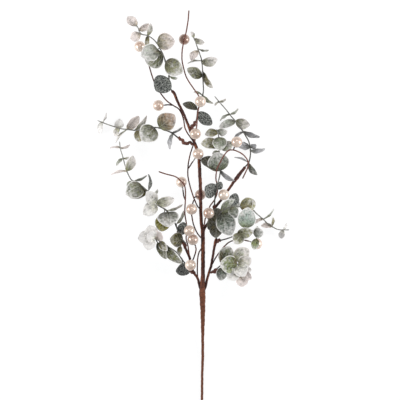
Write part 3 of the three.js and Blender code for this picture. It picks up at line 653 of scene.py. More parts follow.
# Each sprig's stem, and its leaves: where the leaf leaves the stem (x, y), its tip (x, y, z), the length
# and width of its blade, its roll in degrees, its tone and, where it has one of its own, its cup
sprigs = {
    "sprig_top_left": {
        "stem": [
            (-38.8, 159.8, 54.3), (-42.3, 163.5, 55), (-46.5, 174, 57), (-46.5, 186, 59),
            (-50, 198, 60), (-52.5, 210, 60), (-59, 225, 59), (-65, 235, 58), (-72, 242, 57),
            (-79, 246, 56), (-88.5, 248.7, 54), (-93, 258, 52), (-97, 263, 50),
        ],
        "leaves": [
            (-95, 260, -108.5, 275, 44, 21, 15, 15, "blush"),
            (-88, 249, -104, 241, 50, 17, 16, 10, "blush"),
            (-92, 254, -76, 263.7, 58, 19, 12, 35, "blush"),
            (-78, 245.5, -74, 264, 62, 19, 10, 35, "pale"),
            (-78, 245.5, -78.8, 228, 52, 18, 9, 30, "olive"),
            (-64, 236, -37, 237, 66, 28, 27, 5, "shell"),
            (-60, 227, -88, 214, 74, 30, 27, 0, "silver"),
            (-55, 219, -81, 205.5, 51, 33, 33, 0, "mottled"),
            (-52, 208, -25.5, 189, 68, 32, 27, 8, "moss"),
            (-46.5, 181, -66, 162.5, 63, 30, 30, 0, "dusk", 0.1),
            (-46.5, 184, -33, 182, 62, 12, 7, 50, "sage"),
        ],
    },
    "sprig_top": {
        "stem": [
            (-8.7, 114, 48.6), (-6, 118, 48.8), (-3, 135, 47), (1.5, 150, 46), (5, 162, 46),
            (4.5, 178.5, 47), (4, 193.5, 48), (2.3, 210, 49), (-2.6, 225, 50), (-7.8, 239.6, 50),
            (-10.5, 246, 49.5),
        ],
        "leaves": [
            (-9, 243, -13.5, 252, 52, 10, 7, 30, "pale"),
            (-8, 241, 7.2, 235.5, 53, 17, 11, 40, "pale"),
            (-2, 226, 14, 225.5, 50, 15, 12, 78, "sage"),
            (-3.8, 225, -13, 208, 56, 19, 13, 25, "blush"),
            (1.5, 209, -18.8, 204, 48, 20, 14, 78, "sage"),
            (3, 205.5, 26, 211, 52, 24, 17, 30, "pale"),
            (4, 184.5, -20, 196, 58, 27, 18, 15, "folded"),
            (4.5, 192, 20.5, 168, 50, 29, 15, 55, "olive"),
            (3, 158, 20.7, 145.5, 46, 21, 13, 65, "green"),
            (3, 158, -10, 162, 45, 13, 8, 60, "green"),
            (-3, 135, -26, 144.6, 42, 24, 15, 40, "duskOlive"),
            (-3, 132, 17.9, 113, 44, 28, 18, 10, "dusk"),
        ],
    },
    "sprig_upper_left": {
        "stem": [
            (-28, 90.3, 48), (-33, 93.5, 48), (-42, 100.5, 48), (-50, 103.8, 46.5),
            (-63.6, 108.6, 44), (-78, 107.3, 40), (-90.5, 105.8, 36), (-99, 105, 32),
            (-110, 106.5, 27), (-119, 107.6, 23), (-131.6, 111.5, 18), (-145, 116.3, 13),
            (-155.4, 120.5, 9),
        ],
        "leaves": [
            (-148.5, 117.6, -142.5, 132.5, 14, 16, 12, 78, "white"),
            (-148.5, 117.6, -152.6, 100, 0.5, 22, 12, 40, "white"),
            (-122, 108.5, -121, 122, 34, 17, 15, 0, "white"),
            (-122, 108.5, -129, 96.6, 18, 16, 13, 40, "pale"),
            (-110, 107, -92, 126.5, 32, 27, 16, 30, "blush"),
            (-110, 106, -126.8, 85.7, 26, 27, 14, 78, "pale"),
            (-98, 105.5, -79.8, 126.8, 36, 28, 14, 62, "pale"),
            (-92, 105.5, -91, 87, 32, 20, 16, 35, "olive"),
            (-68, 108, -87, 89, 52, 31, 31, 0, "streaked"),
            (-61, 108, -38, 127.5, 54, 31, 29, 5, "copper"),
            (-41.6, 101, -26.5, 110, 44, 18, 9, 70, "slate"),
            (-41.6, 99, -44.4, 75.6, 44, 24, 13, 60, "slate"),
        ],
    },
    "sprig_left": {
        "stem": [
            (-31.2, -51.5, 39.3), (-33.5, -46, 40), (-36.3, -37.5, 42), (-45, -21, 44),
            (-53, -13.7, 45), (-62.4, -8, 45), (-72, 3, 44), (-77.4, 12, 43), (-90, 22.5, 40),
            (-102.3, 29.3, 36), (-110, 43, 31), (-113.7, 54.5, 27), (-116, 63, 23),
            (-120.6, 78.6, 17), (-121.8, 88.5, 13),
        ],
        "leaves": [
            (-121, 79, -136.5, 78, 14, 16, 11, 72, "blush"),
            (-121, 79, -105.5, 84, 14, 16, 11, 72, "blush"),
            (-116, 63, -125.9, 51, 20, 15, 11, 60, "sage"),
            (-116, 63, -106.4, 65, 20, 10, 8, 65, "pale"),
            (-110, 44, -101, 67, 34, 25, 17, 35, "pale"),
            (-110, 43, -134, 37, 26, 25, 13, 72, "blush"),
            (-101, 29, -80, 38, 40, 22, 12, 72, "sage"),
            (-102, 29, -110, 20, 34, 11, 7, 30, "sage"),
            (-86, 20, -111, 8, 50, 31, 27, 0, "streaked", 0.3),
            (-78, 12, -108, 6, 34, 31, 19, 20, "olive"),
            (-77, 13, -77, 39, 44, 25, 14, 72, "dusk"),
            (-72, 4, -63.5, 16.5, 48, 12, 7, 50, "sage"),
            (-62, -8, -80, 12.5, 58, 24, 20, 5, "chalk"),
            (-63, -8, -85, -22, 50, 25, 21, 5, "chalk"),
            (-64, -5, -38.5, 2.5, 48, 28, 17, 20, "pale"),
            (-50, -16, -26, -6, 46, 24, 12, 70, "pale"),
            (-50, -16, -46.5, -41, 60, 27, 33, 0, "bowl", 0.3),
            (-36, -38, -24.5, -16, 37, 22, 12, 66, "sage"),
            (-53, -13.7, -58, -47, 38, 26, 24, 5, "gold"),
        ],
    },
    "sprig_upper_right": {
        "stem": [
            (64.2, 44.8, 26.2), (68.3, 50, 25), (73.4, 56.6, 24), (75.8, 65.3, 22),
            (76.2, 76.5, 20), (73.4, 89, 19), (68.5, 97.8, 18), (63.8, 105.5, 18),
            (54.2, 118.8, 17), (46.5, 127.4, 16), (40, 136, 16), (28.4, 149.4, 15), (22.2, 157, 14),
        ],
        "leaves": [
            (29, 148.5, 22, 142.5, 15, 10, 7, 60, "pale"),
            (29, 148.5, 39.5, 153.5, 16, 11, 8, 60, "pale"),
            (45, 129, 58, 139, 18, 16, 10, 68, "sage"),
            (45, 129, 30, 119.5, 15, 18, 11, 66, "sage"),
            (54, 119, 29, 110, 20, 26, 14, 25, "silver"),
            (54, 119, 75.5, 113.5, 19, 25, 18, 25, "pale"),
            (65, 104, 91, 96, 16, 27, 14, 60, "slate"),
            (65, 103, 52.2, 93, 16, 16, 10, 62, "slate"),
            (75.5, 80, 57, 81, 26, 19, 15, 35, "slate"),
            (75.5, 80, 85, 84, 23, 12, 11, 40, "slate"),
            (76.3, 75, 99.5, 77, 0.5, 30, 11, 50, "slate"),
            (73, 57, 51.3, 63.3, 26, 22, 11, 75, "slate"),
            (73, 56, 86.7, 37.5, 22, 22, 13, 50, "duskSage"),
        ],
    },
    "sprig_middle": {
        "stem": [
            (21.3, -12.5, 37), (21.8, -7, 40.5), (22.5, 4.5, 46), (25.5, 20, 53), (30.5, 42.8, 58),
            (30, 60, 60), (28.4, 73.8, 60), (28, 85, 59.5), (27.5, 97.8, 58), (25, 106, 56.5),
        ],
        "leaves": [
            (27, 101, 7.5, 97, 58, 21, 15, 30, "mossy"),
            (26.5, 103, 41, 102, 60, 15, 14, 35, "silver"),
            (28, 94, 30, 73.5, 67, 22, 22, 0, "sage"),
            (28, 82, 1, 84.5, 61, 28, 19, 20, "mossy"),
            (28.5, 79, 50, 84.5, 54, 22, 17, 30, "sage"),
            (28.5, 73, 18, 68.5, 60, 10, 7, 20, "sage"),
            (30.5, 43, 24.5, 71, 67, 29, 33, 0, "netSage", 0.1),
            (30.5, 44, 1.5, 61, 52, 34, 26, 40, "duskOlive", 0.35),
            (30, 44, 51, 28.5, 62, 26, 12, 55, "slate"),
            (24, 10, 7, 20, 60, 25, 24, 5, "dusk", 0.1),
            (24.6, 15, 32, 27, 52, 13, 12, 10, "dusk"),
        ],
    },
    "sprig_right": {
        "stem": [
            (22.9, -64, 42.2), (24.8, -57.8, 44), (22.5, -42, 48), (30, -19.5, 50.5),
            (45, -10.5, 50), (64.5, -10.5, 45), (79.5, -15, 39), (84, -19.5, 37), (95, -28.7, 30),
            (102, -35.6, 25), (110, -40.8, 20), (117, -44.3, 16.5), (124.2, -45.3, 13.5),
            (135.2, -45.3, 10),
        ],
        "leaves": [
            (45, -10.5, 54.5, 10, 46, 21, 16, 5, "dusk", 0.1),
            (31, -18, 59, -3, 45, 32, 24, 10, "sage"),
            (48, -10.5, 54, -27, 57, 19, 16, 10, "netSage"),
            (30, -19, 47, -53, 64, 37, 30, 0, "duskSage"),
            (60, -10.5, 84, -4, 42, 27, 24, 10, "mossy"),
            (80, -15.5, 80, 0, 44, 14, 8, 50, "green"),
            (22.5, -41, 27, -12, 45, 28, 27, 0, "duskOlive"),
            (23.3, -44, 11.5, -32, 50, 16, 15, 10, "duskOlive"),
            (22.8, -37, 24, -56.5, 57, 20, 20, 5, "duskOlive"),
            (95, -28.7, 111.5, -12.3, 30, 23, 12, 75, "sage"),
            (95, -28.7, 79.7, -36.6, 28, 18, 12, 66, "blush"),
            (108.5, -40, 109, -25.2, 26, 15, 11, 62, "olive"),
            (108.5, -40, 92, -39.6, 20, 17, 11, 45, "blush"),
            (126, -45.3, 130.5, -35, 15, 11, 8, 60, "white"),
            (126, -45.3, 123, -58, 0.5, 18, 10, 10, "white"),
        ],
    },
    "sprig_right_small": {
        "stem": [
            (27, -61.5, 44.5), (31, -60.5, 46), (40, -58, 50), (51, -54, 54), (60, -50.5, 56),
            (69, -48, 56.5), (79.5, -49, 55), (84, -54, 53), (85.5, -58, 51),
        ],
        "leaves": [
            (52, -54, 79.5, -46, 64, 26, 18, 15, "moss"),
            (62, -50, 52, -66, 62, 19, 19, 0, "moss"),
            (80, -49.5, 95, -48, 59, 16, 17, 10, "silver"),
            (79, -49, 86.4, -38.5, 57, 11, 7, 50, "sage"),
            (85, -57, 80.5, -74.5, 54, 17, 13, 0, "green"),
            (66, -49, 72, -11, 66, 32, 28, 0, "teal"),
        ],
    },
    "sprig_low_right": {
        "stem": [
            (21, -108, 29), (25.5, -103.5, 33), (33, -97, 42), (43, -92, 50), (53, -94, 55),
            (60, -101, 57), (63, -112, 55), (64, -120, 52),
        ],
        "leaves": [
            (35, -95, 44.5, -69.5, 47, 24, 24, 0, "mottled", 0.1),
            (49, -92.8, 73, -73, 56, 27, 23, 5, "pale"),
            (56, -96.5, 76.5, -87, 58, 21, 20, 10, "pale"),
            (57, -96, 29.5, -95, 67, 28, 28, 0, "green"),
            (34, -96.5, 27, -82, 48, 15, 10, 50, "olive"),
            (58, -98, 66, -114, 70, 23, 23, 0, "chalk"),
            (60, -101, 41, -118, 64, 20, 20, 0, "chalk"),
            (64, -114, 62, -130, 54, 17, 18, 0, "blush"),
            (62.5, -107, 77, -118, 58, 17, 15, 20, "blush"),
            (34, -96, 31, -121, 44, 20, 17, 0, "duskSage"),
            (60.5, -102, 77, -104, 58, 15, 14, 30, "white"),
        ],
    },
    "sprig_low_left": {
        "stem": [
            (-11.5, -108.4, 26.7), (-16, -105, 29), (-24, -93.5, 34), (-36, -78, 40),
            (-49.5, -69, 44), (-63, -60, 47), (-75, -54, 48),
        ],
        "leaves": [
            (-28, -88.5, -22, -113, 8, 27, 25, 0, "dusk", 0.1),
            (-58, -62, -27, -95, 46, 42, 15, 20, "folded"),
            (-62, -60.5, -49, -76, 54, 19, 13, 25, "olive"),
            (-67, -58, -50, -88, 43, 28, 13, 20, "folded", 0.35),
            (-73, -55, -93, -58.5, 50, 20, 20, 5, "white"),
            (-72, -55.5, -75.5, -37.5, 54, 19, 21, 5, "white"),
            (-68, -57.5, -58.5, -48, 56, 15, 20, 10, "blush"),
            (-72, -55.5, -79, -75, 50, 20, 20, 5, "white"),
            (-64, -60, -79, -51, 64, 18, 19, 0, "white"),
        ],
    },
    "sprig_low_small": {
        "stem": [
            (-22.3, -68, 38.2), (-22.5, -64.5, 41), (-26, -60, 46), (-31, -54, 49),
        ],
        "leaves": [
            (-25, -61.5, -45, -58, 56, 22, 23, 0, "umber"),
            (-30, -55, -24, -33, 46.5, 20, 16, 0, "dusk", 0.1),
            (-28, -58, -31, -83, 47, 14, 9, 20, "olive"),
        ],
    },
}


def bladeOutline(share):
    return math.sin(math.pi * min(max(share, 0), 1) ** 0.9) ** 0.6


# The flat pattern blade, from -1 to 1 across in x and along in y, with a wall given by Solidify
def cutPatternBlade():
    bpy.ops.object.select_all(action="DESELECT")
    bpy.ops.mesh.primitive_grid_add(
        x_subdivisions=leafBlade["columns"], y_subdivisions=leafBlade["rows"], size=2, calc_uvs=True,
    )
    blade = bpy.context.object
    blade.name = "patternBlade"
    blade.data.uv_layers.active.name = "wrapMap"
    wall = blade.modifiers.new("wall", "SOLIDIFY")
    wall.thickness = 0.02
    wall.offset = 0
    bpy.ops.object.modifier_apply(modifier=wall.name)
    return blade


def leafColours(tone, lightness):
    blade, root, reach, frost, rimWhite, net = leafTones[tone]
    shift = [channel * lightness for channel in linearColour(blade)[:3]]
    return shift, linearColour(root)[:3], reach, frost, rimWhite, net


# One leaf: a copy of the pattern, drawn out to its outline, bowed, cupped and rippled along its own axis.
# leafCoat holds its powder, its net, the whiteness of its rim and how far in from the rim a point lies.
def growLeaf(pattern, root, leaf):
    tipX, tipY, tipZ, length, width, roll, tone, cup = (*leaf[2:], leafBlade["cup"])[:8]
    along = Vector((tipX, tipY, tipZ)) - root
    reach = along.length
    along.normalize()
    face = (Vector((0, 0, 1)) - along * along.z).normalized()
    face.rotate(Matrix.Rotation(math.radians(roll), 3, along))
    side = along.cross(face)
    neck = max(reach - length, 0)
    blade = reach - neck
    widest = width / 2
    stalkShare = leafBlade["stalkRows"] / leafBlade["rows"]
    ripplePhase = random.uniform(0, 6.28)
    rippleTurns = random.uniform(1.2, 2.1)
    curl = leafBlade["tipCurl"] * random.uniform(-0.4, 1.2)
    skew = random.uniform(-0.04, 0.04)
    copy = copyPattern(pattern)
    bladeColour, rootColour, rootReach, frost, rimWhite, net = leafColours(tone, random.uniform(0.88, 1.12))
    coat = copy.data.color_attributes.new("leafCoat", "FLOAT_COLOR", "POINT")
    tint = copy.data.color_attributes.new("leafTint", "FLOAT_COLOR", "POINT")
    warmth = {"blush": 0.9, "shell": 0.9, "pale": 0.5}.get(tone, 0.2)
    rimScale = leafBlade["whiteRim"] * min(1, max(0.5, width / leafBlade["wideLeaf"]))
    for vertex in copy.data.vertices:
        across = vertex.co.x
        progress = (vertex.co.y + 1) / 2
        layer = 1 if vertex.co.z > 0 else -1
        if progress < stalkShare:
            share = 0.0
            distance = neck * progress / stalkShare
            half = leafBlade["stalkWidth"] / 2
            wallHalf = leafBlade["stalkWall"]
            rim = 3.0
        else:
            even = (progress - stalkShare) / (1 - stalkShare)
            share = 0.5 - 0.5 * math.cos(math.pi * (0.06 + 0.94 * even))      # rows close up at the ends
            share = (share - 0.00886) / 0.99114
            distance = neck + share * blade
            half = max(widest * bladeOutline(share), leafBlade["stalkWidth"] / 2 * (1 - share) + 0.15)
            rim = min(half * (1 - abs(across)), (1 - share) * blade * 0.8)    # mm from the edge
            fullness = min(1, max(0, 1 - rim / leafBlade["rimReach"]))
            wallHalf = (leafBlade["thickness"] + fullness * (
                leafBlade["rimThickness"] - leafBlade["thickness"])) / 2
            wallHalf = max(wallHalf, leafBlade["stalkWall"] * (1 - share * 8))
            if abs(across) > 0.999 or share > 0.999:
                wallHalf *= 0.62      # the very edge is rounded off
        bow = leafBlade["bow"] * blade * math.sin(math.pi * share)
        bow += curl * blade * share ** 3
        offMidrib = abs(across) * half
        groove = leafBlade["grooveDepth"] * math.exp(-(offMidrib / leafBlade["grooveWidth"]) ** 2)
        fold = abs(across) * cup * half - groove
        wave = leafBlade["ripple"] * half * across * across * math.sin(
            rippleTurns * 2 * math.pi * share + ripplePhase + across * 1.3)
        sideways = across * half + skew * blade * math.sin(math.pi * share)
        point = root + along * distance + side * sideways + face * (bow + fold + wave + layer * wallHalf)
        vertex.co = place(point)
        vertex.co.z = max(vertex.co.z, 0)            # a low edge rests on the table
        rootMask = max(0.0, 1 - share / rootReach)
        powder = frost * (0.12 + 0.88 * min(1, share / 0.6))
        netHere = net * (1 - 0.55 * rootMask) if frost > 0 else net
        rimHere = min(1, rim / rimScale + 1.6 * max(0, leafBlade["bareRoot"] - share))
        coat.data[vertex.index].color = (powder, netHere, rimWhite, rimHere)
        mixed = [bladeColour[i] * (1 - rootMask) + rootColour[i] * rootMask for i in range(3)]
        tint.data[vertex.index].color = (*mixed, warmth)
    return copy


def nearestAxisPoint(cuts, leaf):
    return min((point for point, width, travelled in cuts),
               key=lambda point: math.hypot(point.x - leaf[0], point.y - leaf[1]))


# The bare stem of a sprig, with a small swelling where each leaf leaves it
def growSprigStem(route, leafPlaces):
    def radiusAt(width, distance, around, left):
        near = min((abs(distance - spot) for spot in leafPlaces), default=99)
        swelling = sprigStem["swelling"] * math.exp(-(near / sprigStem["swellingReach"]) ** 2)
        tipEnd = min(distance, left)
        return (width / 2 + swelling) * (1 if tipEnd > 1 else 0.55 + 0.45 * tipEnd)
    stem = rollTube(route, sprigStem["sides"], sprigStem["step"], radiusAt, (0, 0, 0), "leafCoat")
    tint = stem.data.color_attributes.new("leafTint", "FLOAT_COLOR", "POINT")
    dark = linearColour(leafBlade["stemColour"])
    pale = linearColour(leafBlade["stemTipColour"])
    first = place(route[0])
    whole = (place(route[-1]) - first).length
    for vertex in stem.data.vertices:
        share = min(1, (vertex.co - first).length / whole)
        tint.data[vertex.index].color = (*[dark[i] * (1 - share) + pale[i] * share for i in range(3)], 0.3)
        coat = stem.data.color_attributes["leafCoat"].data[vertex.index]
        coat.color = (0.02 + 0.3 * share, 0.1, 0, 1)
    return stem


def makeFrostedLeaf():
    # Moulded polyethylene leaf, tinted and then dusted with white flocking: matte, waxy under the dust,
    # whitest on the rim and the tip, with pressed veins and a pale net of them on the dark leaves
    material, tree = newMaterial("flockedLeafPlastic")
    coordinates = addNode(tree, "TexCoord")
    objectPlace = coordinates.outputs["Object"]
    bladeMap = addNode(tree, "UVMap", uv_map="wrapMap")
    mapParts = addNode(tree, "SeparateXYZ", {"Vector": bladeMap})
    coat = addNode(tree, "Attribute", attribute_name="leafCoat")
    coatParts = addNode(tree, "SeparateColor", {"Color": coat})
    tint = addNode(tree, "Attribute", attribute_name="leafTint")
    frost = coatParts.outputs["Red"]
    net = coatParts.outputs["Green"]
    rim = coat.outputs["Alpha"]

    # blotches of the tint, about 5 mm across
    blotches = addNode(tree, "TexNoise", {
        "Vector": objectPlace, "Scale": 190, "Detail": 4, "Roughness": 0.6,
    })
    blotchRange = addNode(tree, "MapRange", {
        "Value": blotches, "From Min": 0.36, "From Max": 0.64, "To Min": 0.25, "To Max": 1.75,
    })
    blotched = addNode(tree, "VectorMath", {0: tint, "Scale": blotchRange}, operation="SCALE")

    # midrib and side veins, from the blade's own map
    centred = addNode(tree, "Math", {0: mapParts.outputs["X"], 1: 0.5}, operation="SUBTRACT")
    sideways = addNode(tree, "Math", {0: centred}, operation="ABSOLUTE")
    midrib = addNode(tree, "MapRange", {
        "Value": sideways, "From Min": 0.008, "From Max": 0.035, "To Min": 1, "To Max": 0,
    }, interpolation_type="SMOOTHSTEP")
    lengthTurns = addNode(tree, "Math", {0: mapParts.outputs["Y"], 1: 9}, operation="MULTIPLY")
    slant = addNode(tree, "Math", {0: sideways, 1: 4.5}, operation="MULTIPLY")
    veinPlace = addNode(tree, "Math", {0: lengthTurns, 1: slant}, operation="SUBTRACT")
    veinTurn = addNode(tree, "Math", {0: veinPlace, 1: 0.5}, operation="PINGPONG")
    veins = addNode(tree, "MapRange", {
        "Value": veinTurn, "From Min": 0.02, "From Max": 0.12, "To Min": 1, "To Max": 0,
    }, interpolation_type="SMOOTHSTEP")
    ribs = addNode(tree, "Math", {0: midrib, 1: veins}, operation="MAXIMUM")

    # the pale net and its specks: cells about 3 mm and specks about 2 mm wide, coarser than the real
    # ones of 1 mm, so that they show
    netCells = addNode(tree, "TexVoronoi", {"Vector": objectPlace, "Scale": 300},
                       feature="DISTANCE_TO_EDGE")
    netLines = addNode(tree, "MapRange", {
        "Value": netCells,
        "From Min": 0.005, "From Max": 0.05, "To Min": 0.55, "To Max": 0,
    }, interpolation_type="SMOOTHSTEP")
    specks = addNode(tree, "TexNoise", {"Vector": objectPlace, "Scale": 560, "Detail": 2})
    speckRange = addNode(tree, "MapRange", {
        "Value": specks, "From Min": 0.47, "From Max": 0.62, "To Min": 0, "To Max": 0.68,
    })
    netOrSpeck = addNode(tree, "Math", {0: netLines, 1: speckRange}, operation="MAXIMUM")
    netShow = addNode(tree, "Math", {0: netOrSpeck, 1: net}, operation="MULTIPLY")
    netTint = addNode(tree, "VectorMath", {
        0: tint, 1: (1.5, 1.5, 1.5), 2: linearColour(leafBlade["netColour"])[:3],
    }, operation="MULTIPLY_ADD")

    # flocking: grains of 0.7 mm, coarser than the real 0.2 mm so that they show, drifts about 4 mm across
    # and streaks brushed from the root outwards
    grains = addNode(tree, "TexNoise", {"Vector": objectPlace, "Scale": 1500, "Detail": 2})
    drifts = addNode(tree, "TexNoise", {"Vector": objectPlace, "Scale": 240, "Detail": 3})
    brushMap = addNode(tree, "Mapping", {"Vector": bladeMap, "Scale": (9, 2.4, 1)})
    leafPlace = addNode(tree, "VectorMath", {0: objectPlace, 1: (40, 40, 40)}, operation="MULTIPLY")
    brushPlace = addNode(tree, "VectorMath", {0: brushMap, 1: leafPlace}, operation="ADD")
    brushed = addNode(tree, "TexNoise", {"Vector": brushPlace, "Scale": 1, "Detail": 3})
    grainRange = addNode(tree, "MapRange", {"Value": grains, "From Min": 0.35, "From Max": 0.65})
    driftRange = addNode(tree, "MapRange", {
        "Value": drifts, "From Min": 0.38, "From Max": 0.62, "To Min": 0.15, "To Max": 1.2,
    })
    brushRange = addNode(tree, "MapRange", {
        "Value": brushed, "From Min": 0.40, "From Max": 0.60, "To Min": 0.1, "To Max": 1.3,
    })
    cover = addNode(tree, "Math", {0: driftRange, 1: brushRange}, operation="ADD")
    bare = addNode(tree, "Math", {0: cover, 1: 0.72}, operation="MULTIPLY")
    # thick flocking hides the drifts
    evenCover = addNode(tree, "MapRange", {
        "Value": frost, "From Min": 0.45, "From Max": 0.9, "To Min": 0, "To Max": 0.9,
    })
    coverMix = addNode(tree, "Mix", {"Factor": evenCover, "A": bare, "B": 1.0})
    dust = addNode(tree, "Math", {0: frost, 1: coverMix}, operation="MULTIPLY")
    grainDust = addNode(tree, "MapRange", {"Value": grainRange, "To Min": 0.6, "To Max": 1.1})
    dusted = addNode(tree, "Math", {0: dust, 1: grainDust}, operation="MULTIPLY", use_clamp=True)
    rimNoise = addNode(tree, "Math", {0: drifts, 1: 0.22}, operation="MULTIPLY")
    rimPlace = addNode(tree, "Math", {0: rim, 1: rimNoise}, operation="ADD")
    rimBand = addNode(tree, "MapRange", {
        "Value": rimPlace, "From Min": 0.22, "From Max": 0.62, "To Min": 1, "To Max": 0,
    }, interpolation_type="SMOOTHSTEP")
    tipPlace = addNode(tree, "Math", {0: mapParts.outputs["Y"], 1: drifts}, operation="ADD")
    tipBand = addNode(tree, "MapRange", {
        "Value": tipPlace, "From Min": 1.0, "From Max": 1.5, "To Min": 0, "To Max": 0.9,
    }, interpolation_type="SMOOTHSTEP")
    rimOrTip = addNode(tree, "Math", {0: rimBand, 1: tipBand}, operation="MAXIMUM")
    rimFrost = addNode(tree, "Math", {0: rimOrTip, 1: coatParts.outputs["Blue"]}, operation="MULTIPLY")

    frostTint = addNode(tree, "Mix", {
        "Factor": tint.outputs["Alpha"],
        "A": linearColour(leafBlade["frostColour"]), "B": linearColour(leafBlade["blushColour"]),
    }, data_type="RGBA")
    # rusty stains about 13 mm apart
    rustPatch = addNode(tree, "TexNoise", {"Vector": objectPlace, "Scale": 75, "Detail": 4})
    rustRange = addNode(tree, "MapRange", {
        "Value": rustPatch, "From Min": 0.52, "From Max": 0.7, "To Min": 0, "To Max": 0.38,
    }, interpolation_type="SMOOTHSTEP")
    rustShow = addNode(tree, "Math", {0: rustRange, 1: coatParts.outputs["Blue"]}, operation="MULTIPLY")
    rusted = addNode(tree, "Mix", {
        "Factor": rustShow,
        "A": blotched, "B": linearColour(leafBlade["rustColour"]),
    }, data_type="RGBA")
    ribFactor = addNode(tree, "Math", {0: ribs, 1: 0.3}, operation="MULTIPLY")
    # ribs, net, powder and rim over the rusty tint, one after the other
    surface = rusted
    layers = ((ribFactor, netTint), (netShow, netTint), (dusted, frostTint), (rimFrost, frostTint))
    for factor, colour in layers:
        surface = addNode(tree, "Mix", {"Factor": factor, "A": surface, "B": colour}, data_type="RGBA")

    roughness = addNode(tree, "MapRange", {"Value": dusted, "To Min": 0.5, "To Max": 0.88})
    ribHeight = addNode(tree, "Math", {0: ribs, 1: netShow}, operation="ADD")
    grainHeight = addNode(tree, "Math", {0: grains, 1: 0.5}, operation="MULTIPLY")
    relief = addNode(tree, "Math", {0: ribHeight, 1: grainHeight}, operation="ADD")
    bump = addNode(tree, "Bump", {"Height": relief, "Strength": 0.6, "Distance": 0.00025})
    shader = addNode(tree, "BsdfPrincipled", {
        "Base Color": surface,
        "Roughness": roughness,
        "Normal": bump,
        "IOR": 1.5,
        "Specular IOR Level": 0.22,
    })
    addNode(tree, "OutputMaterial", {"Surface": shader})
    return material


def growSprig(name, sprig, pattern, material):
    stem = sprig["stem"]
    last = len(stem) - 1
    narrowing = sprigStem["endWidth"] - sprigStem["startWidth"]
    widths = [sprigStem["startWidth"] + narrowing * index / last for index in range(last + 1)]
    route = [(*point, width) for point, width in zip(stem, widths)]
    axis = cutRoute(route, 0.8)
    leafPlaces = []
    blades = []
    for leaf in sprig["leaves"]:
        root = nearestAxisPoint(axis, leaf)
        leafPlaces.append(next(travelled for point, width, travelled in axis if point == root))
        blades.append(growLeaf(pattern, root, leaf))
    tube = growSprigStem(route, leafPlaces)
    joined = joinPieces([tube, *blades], "leafy" + name.title().replace("_", ""))
    closeTubes(joined)
    joined.data.materials.append(material)
    selectOnly(joined)
    bpy.ops.object.shade_smooth_by_angle(angle=math.radians(55))
    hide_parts(name)
    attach(joined, "root")
    print(name, len(joined.data.polygons), "faces")


patternBlade = cutPatternBlade()
flockedLeaf = makeFrostedLeaf()
for sprigName, sprigParts in sprigs.items():
    growSprig(sprigName, sprigParts, patternBlade, flockedLeaf)
bpy.data.objects.remove(patternBlade)
print("leafy sprigs done")


# Pearl beads

pearlBead = {
    "radius": 8.3,           # mm
    "segments": 48,
    "rings": 24,
    "holeDepth": 4.5,
    "holeRim": 0.12,
    "colour": "#e8d7c8",
    "deepColour": "#cbab98",
    "highColour": "#f3e9e2",
    "shadedColour": "#8a6455",
    # beads with painted shade, their lacquer colour darkened towards a brown, and how much
    "shaded": {2: 0.8, 11: 0.6, 12: 0.3, 14: 0.5, 10: 0.2},
}


# A round bead with its drilled hole at the lower pole
def turnPatternBead():
    bpy.ops.object.select_all(action="DESELECT")
    bpy.ops.mesh.primitive_uv_sphere_add(
        segments=pearlBead["segments"], ring_count=pearlBead["rings"], radius=pearlBead["radius"] * mm,
    )
    bead = bpy.context.object
    bead.name = "patternBead"
    bead.data.uv_layers.active.name = "wrapMap"
    bpy.ops.object.mode_set(mode="EDIT")
    bpy.ops.mesh.select_all(action="DESELECT")
    bpy.ops.object.mode_set(mode="OBJECT")
    for face in bead.data.polygons:
        face.select = face.normal.z < -0.995      # the faces round the lower pole
    bpy.ops.object.mode_set(mode="EDIT")
    bpy.ops.mesh.select_mode(type="FACE")
    bpy.ops.mesh.inset(thickness=pearlBead["holeRim"] * mm, depth=0)
    bpy.ops.mesh.extrude_region_move(
        TRANSFORM_OT_translate={"value": (0, 0, pearlBead["holeDepth"] * mm)},
    )
    bpy.ops.object.mode_set(mode="OBJECT")
    return bead


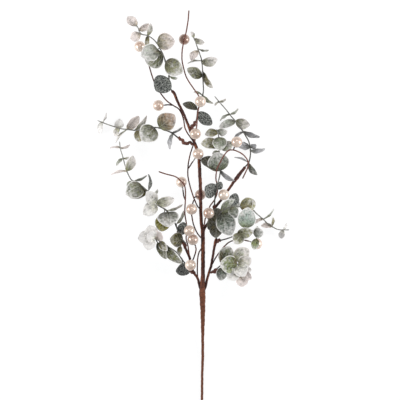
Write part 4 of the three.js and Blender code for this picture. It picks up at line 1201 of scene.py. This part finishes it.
def makePearlLacquer():
    # Plastic bead under champagne pearl lacquer: a smooth satin body with cloudy, warm nacre and a
    # clear glossy coat that shows the softboxes
    material, tree = newMaterial("champagnePearlLacquer")
    coordinates = addNode(tree, "TexCoord")
    # clouds about 14 mm wide, and nacre flakes of 0.4 mm, coarser than real ones so that they show
    clouds = addNode(tree, "TexNoise", {
        "Vector": coordinates.outputs["Object"], "Scale": 70, "Detail": 2, "Distortion": 0.6,
    })
    flakes = addNode(tree, "TexNoise", {
        "Vector": coordinates.outputs["Object"], "Scale": 2600, "Detail": 1,
    })
    cloudRange = addNode(tree, "MapRange", {"Value": clouds, "From Min": 0.35, "From Max": 0.65})
    body = addNode(tree, "Mix", {
        "Factor": cloudRange,
        "A": linearColour(pearlBead["deepColour"]), "B": linearColour(pearlBead["colour"]),
    }, data_type="RGBA")
    flakeRange = addNode(tree, "MapRange", {
        "Value": flakes, "From Min": 0.5, "From Max": 0.75, "To Min": 0, "To Max": 0.45,
    })
    nacre = addNode(tree, "Mix", {
        "Factor": flakeRange,
        "A": body, "B": linearColour(pearlBead["highColour"]),
    }, data_type="RGBA")
    roughness = addNode(tree, "MapRange", {"Value": clouds, "To Min": 0.2, "To Max": 0.42})
    bump = addNode(tree, "Bump", {"Height": flakes, "Strength": 0.08, "Distance": 0.00005})
    # painted shade: the listed beads are darkened towards a brown, patchy with the clouds
    paintedShadeAttribute = addNode(tree, "Attribute", attribute_name="beadShade")
    paintedShadePatch = addNode(tree, "MapRange", {
        "Value": clouds, "From Min": 0.3, "From Max": 0.7, "To Min": 1.15, "To Max": 0.6,
    })
    paintedShadeAmount = addNode(tree, "Math", {0: paintedShadeAttribute.outputs["Fac"], 1: paintedShadePatch},
                   operation="MULTIPLY", use_clamp=True)
    lacquer = addNode(tree, "Mix", {
        "Factor": paintedShadeAmount,
        "A": nacre, "B": linearColour(pearlBead["shadedColour"]),
    }, data_type="RGBA")
    shader = addNode(tree, "BsdfPrincipled", {
        "Base Color": lacquer,
        "Metallic": 0.35,
        "Roughness": roughness,
        "Normal": bump,
        "IOR": 1.5,
        "Coat Weight": 0.9,
        "Coat Roughness": 0.06,
        "Coat IOR": 1.55,
    })
    addNode(tree, "OutputMaterial", {"Surface": shader})
    return material


patternBead = turnPatternBead()
pearlLacquer = makePearlLacquer()
for number, (centre, start) in enumerate(pearls, 1):
    bead = copyPattern(patternBead)
    bead.name = f"pearlBead{number:02d}"
    bead.data.name = bead.name
    wireWay = Vector(start) - Vector(centre)
    turned = wireWay.to_track_quat("-Z", "Y").to_matrix().to_4x4()
    bead.data.transform(Matrix.Translation(place(centre)) @ turned)
    bead.data.materials.append(pearlLacquer)
    shade = bead.data.color_attributes.new("beadShade", "FLOAT_COLOR", "POINT")
    amount = pearlBead["shaded"].get(number, 0.0)
    shade.data.foreach_set("color", [amount, amount, amount, 1.0] * len(bead.data.vertices))
    selectOnly(bead)
    bpy.ops.object.shade_smooth_by_angle(angle=math.radians(40))
    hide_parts(f"pearl_{number:02d}")
    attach(bead, "root")
bpy.data.objects.remove(patternBead)
print("pearls done")
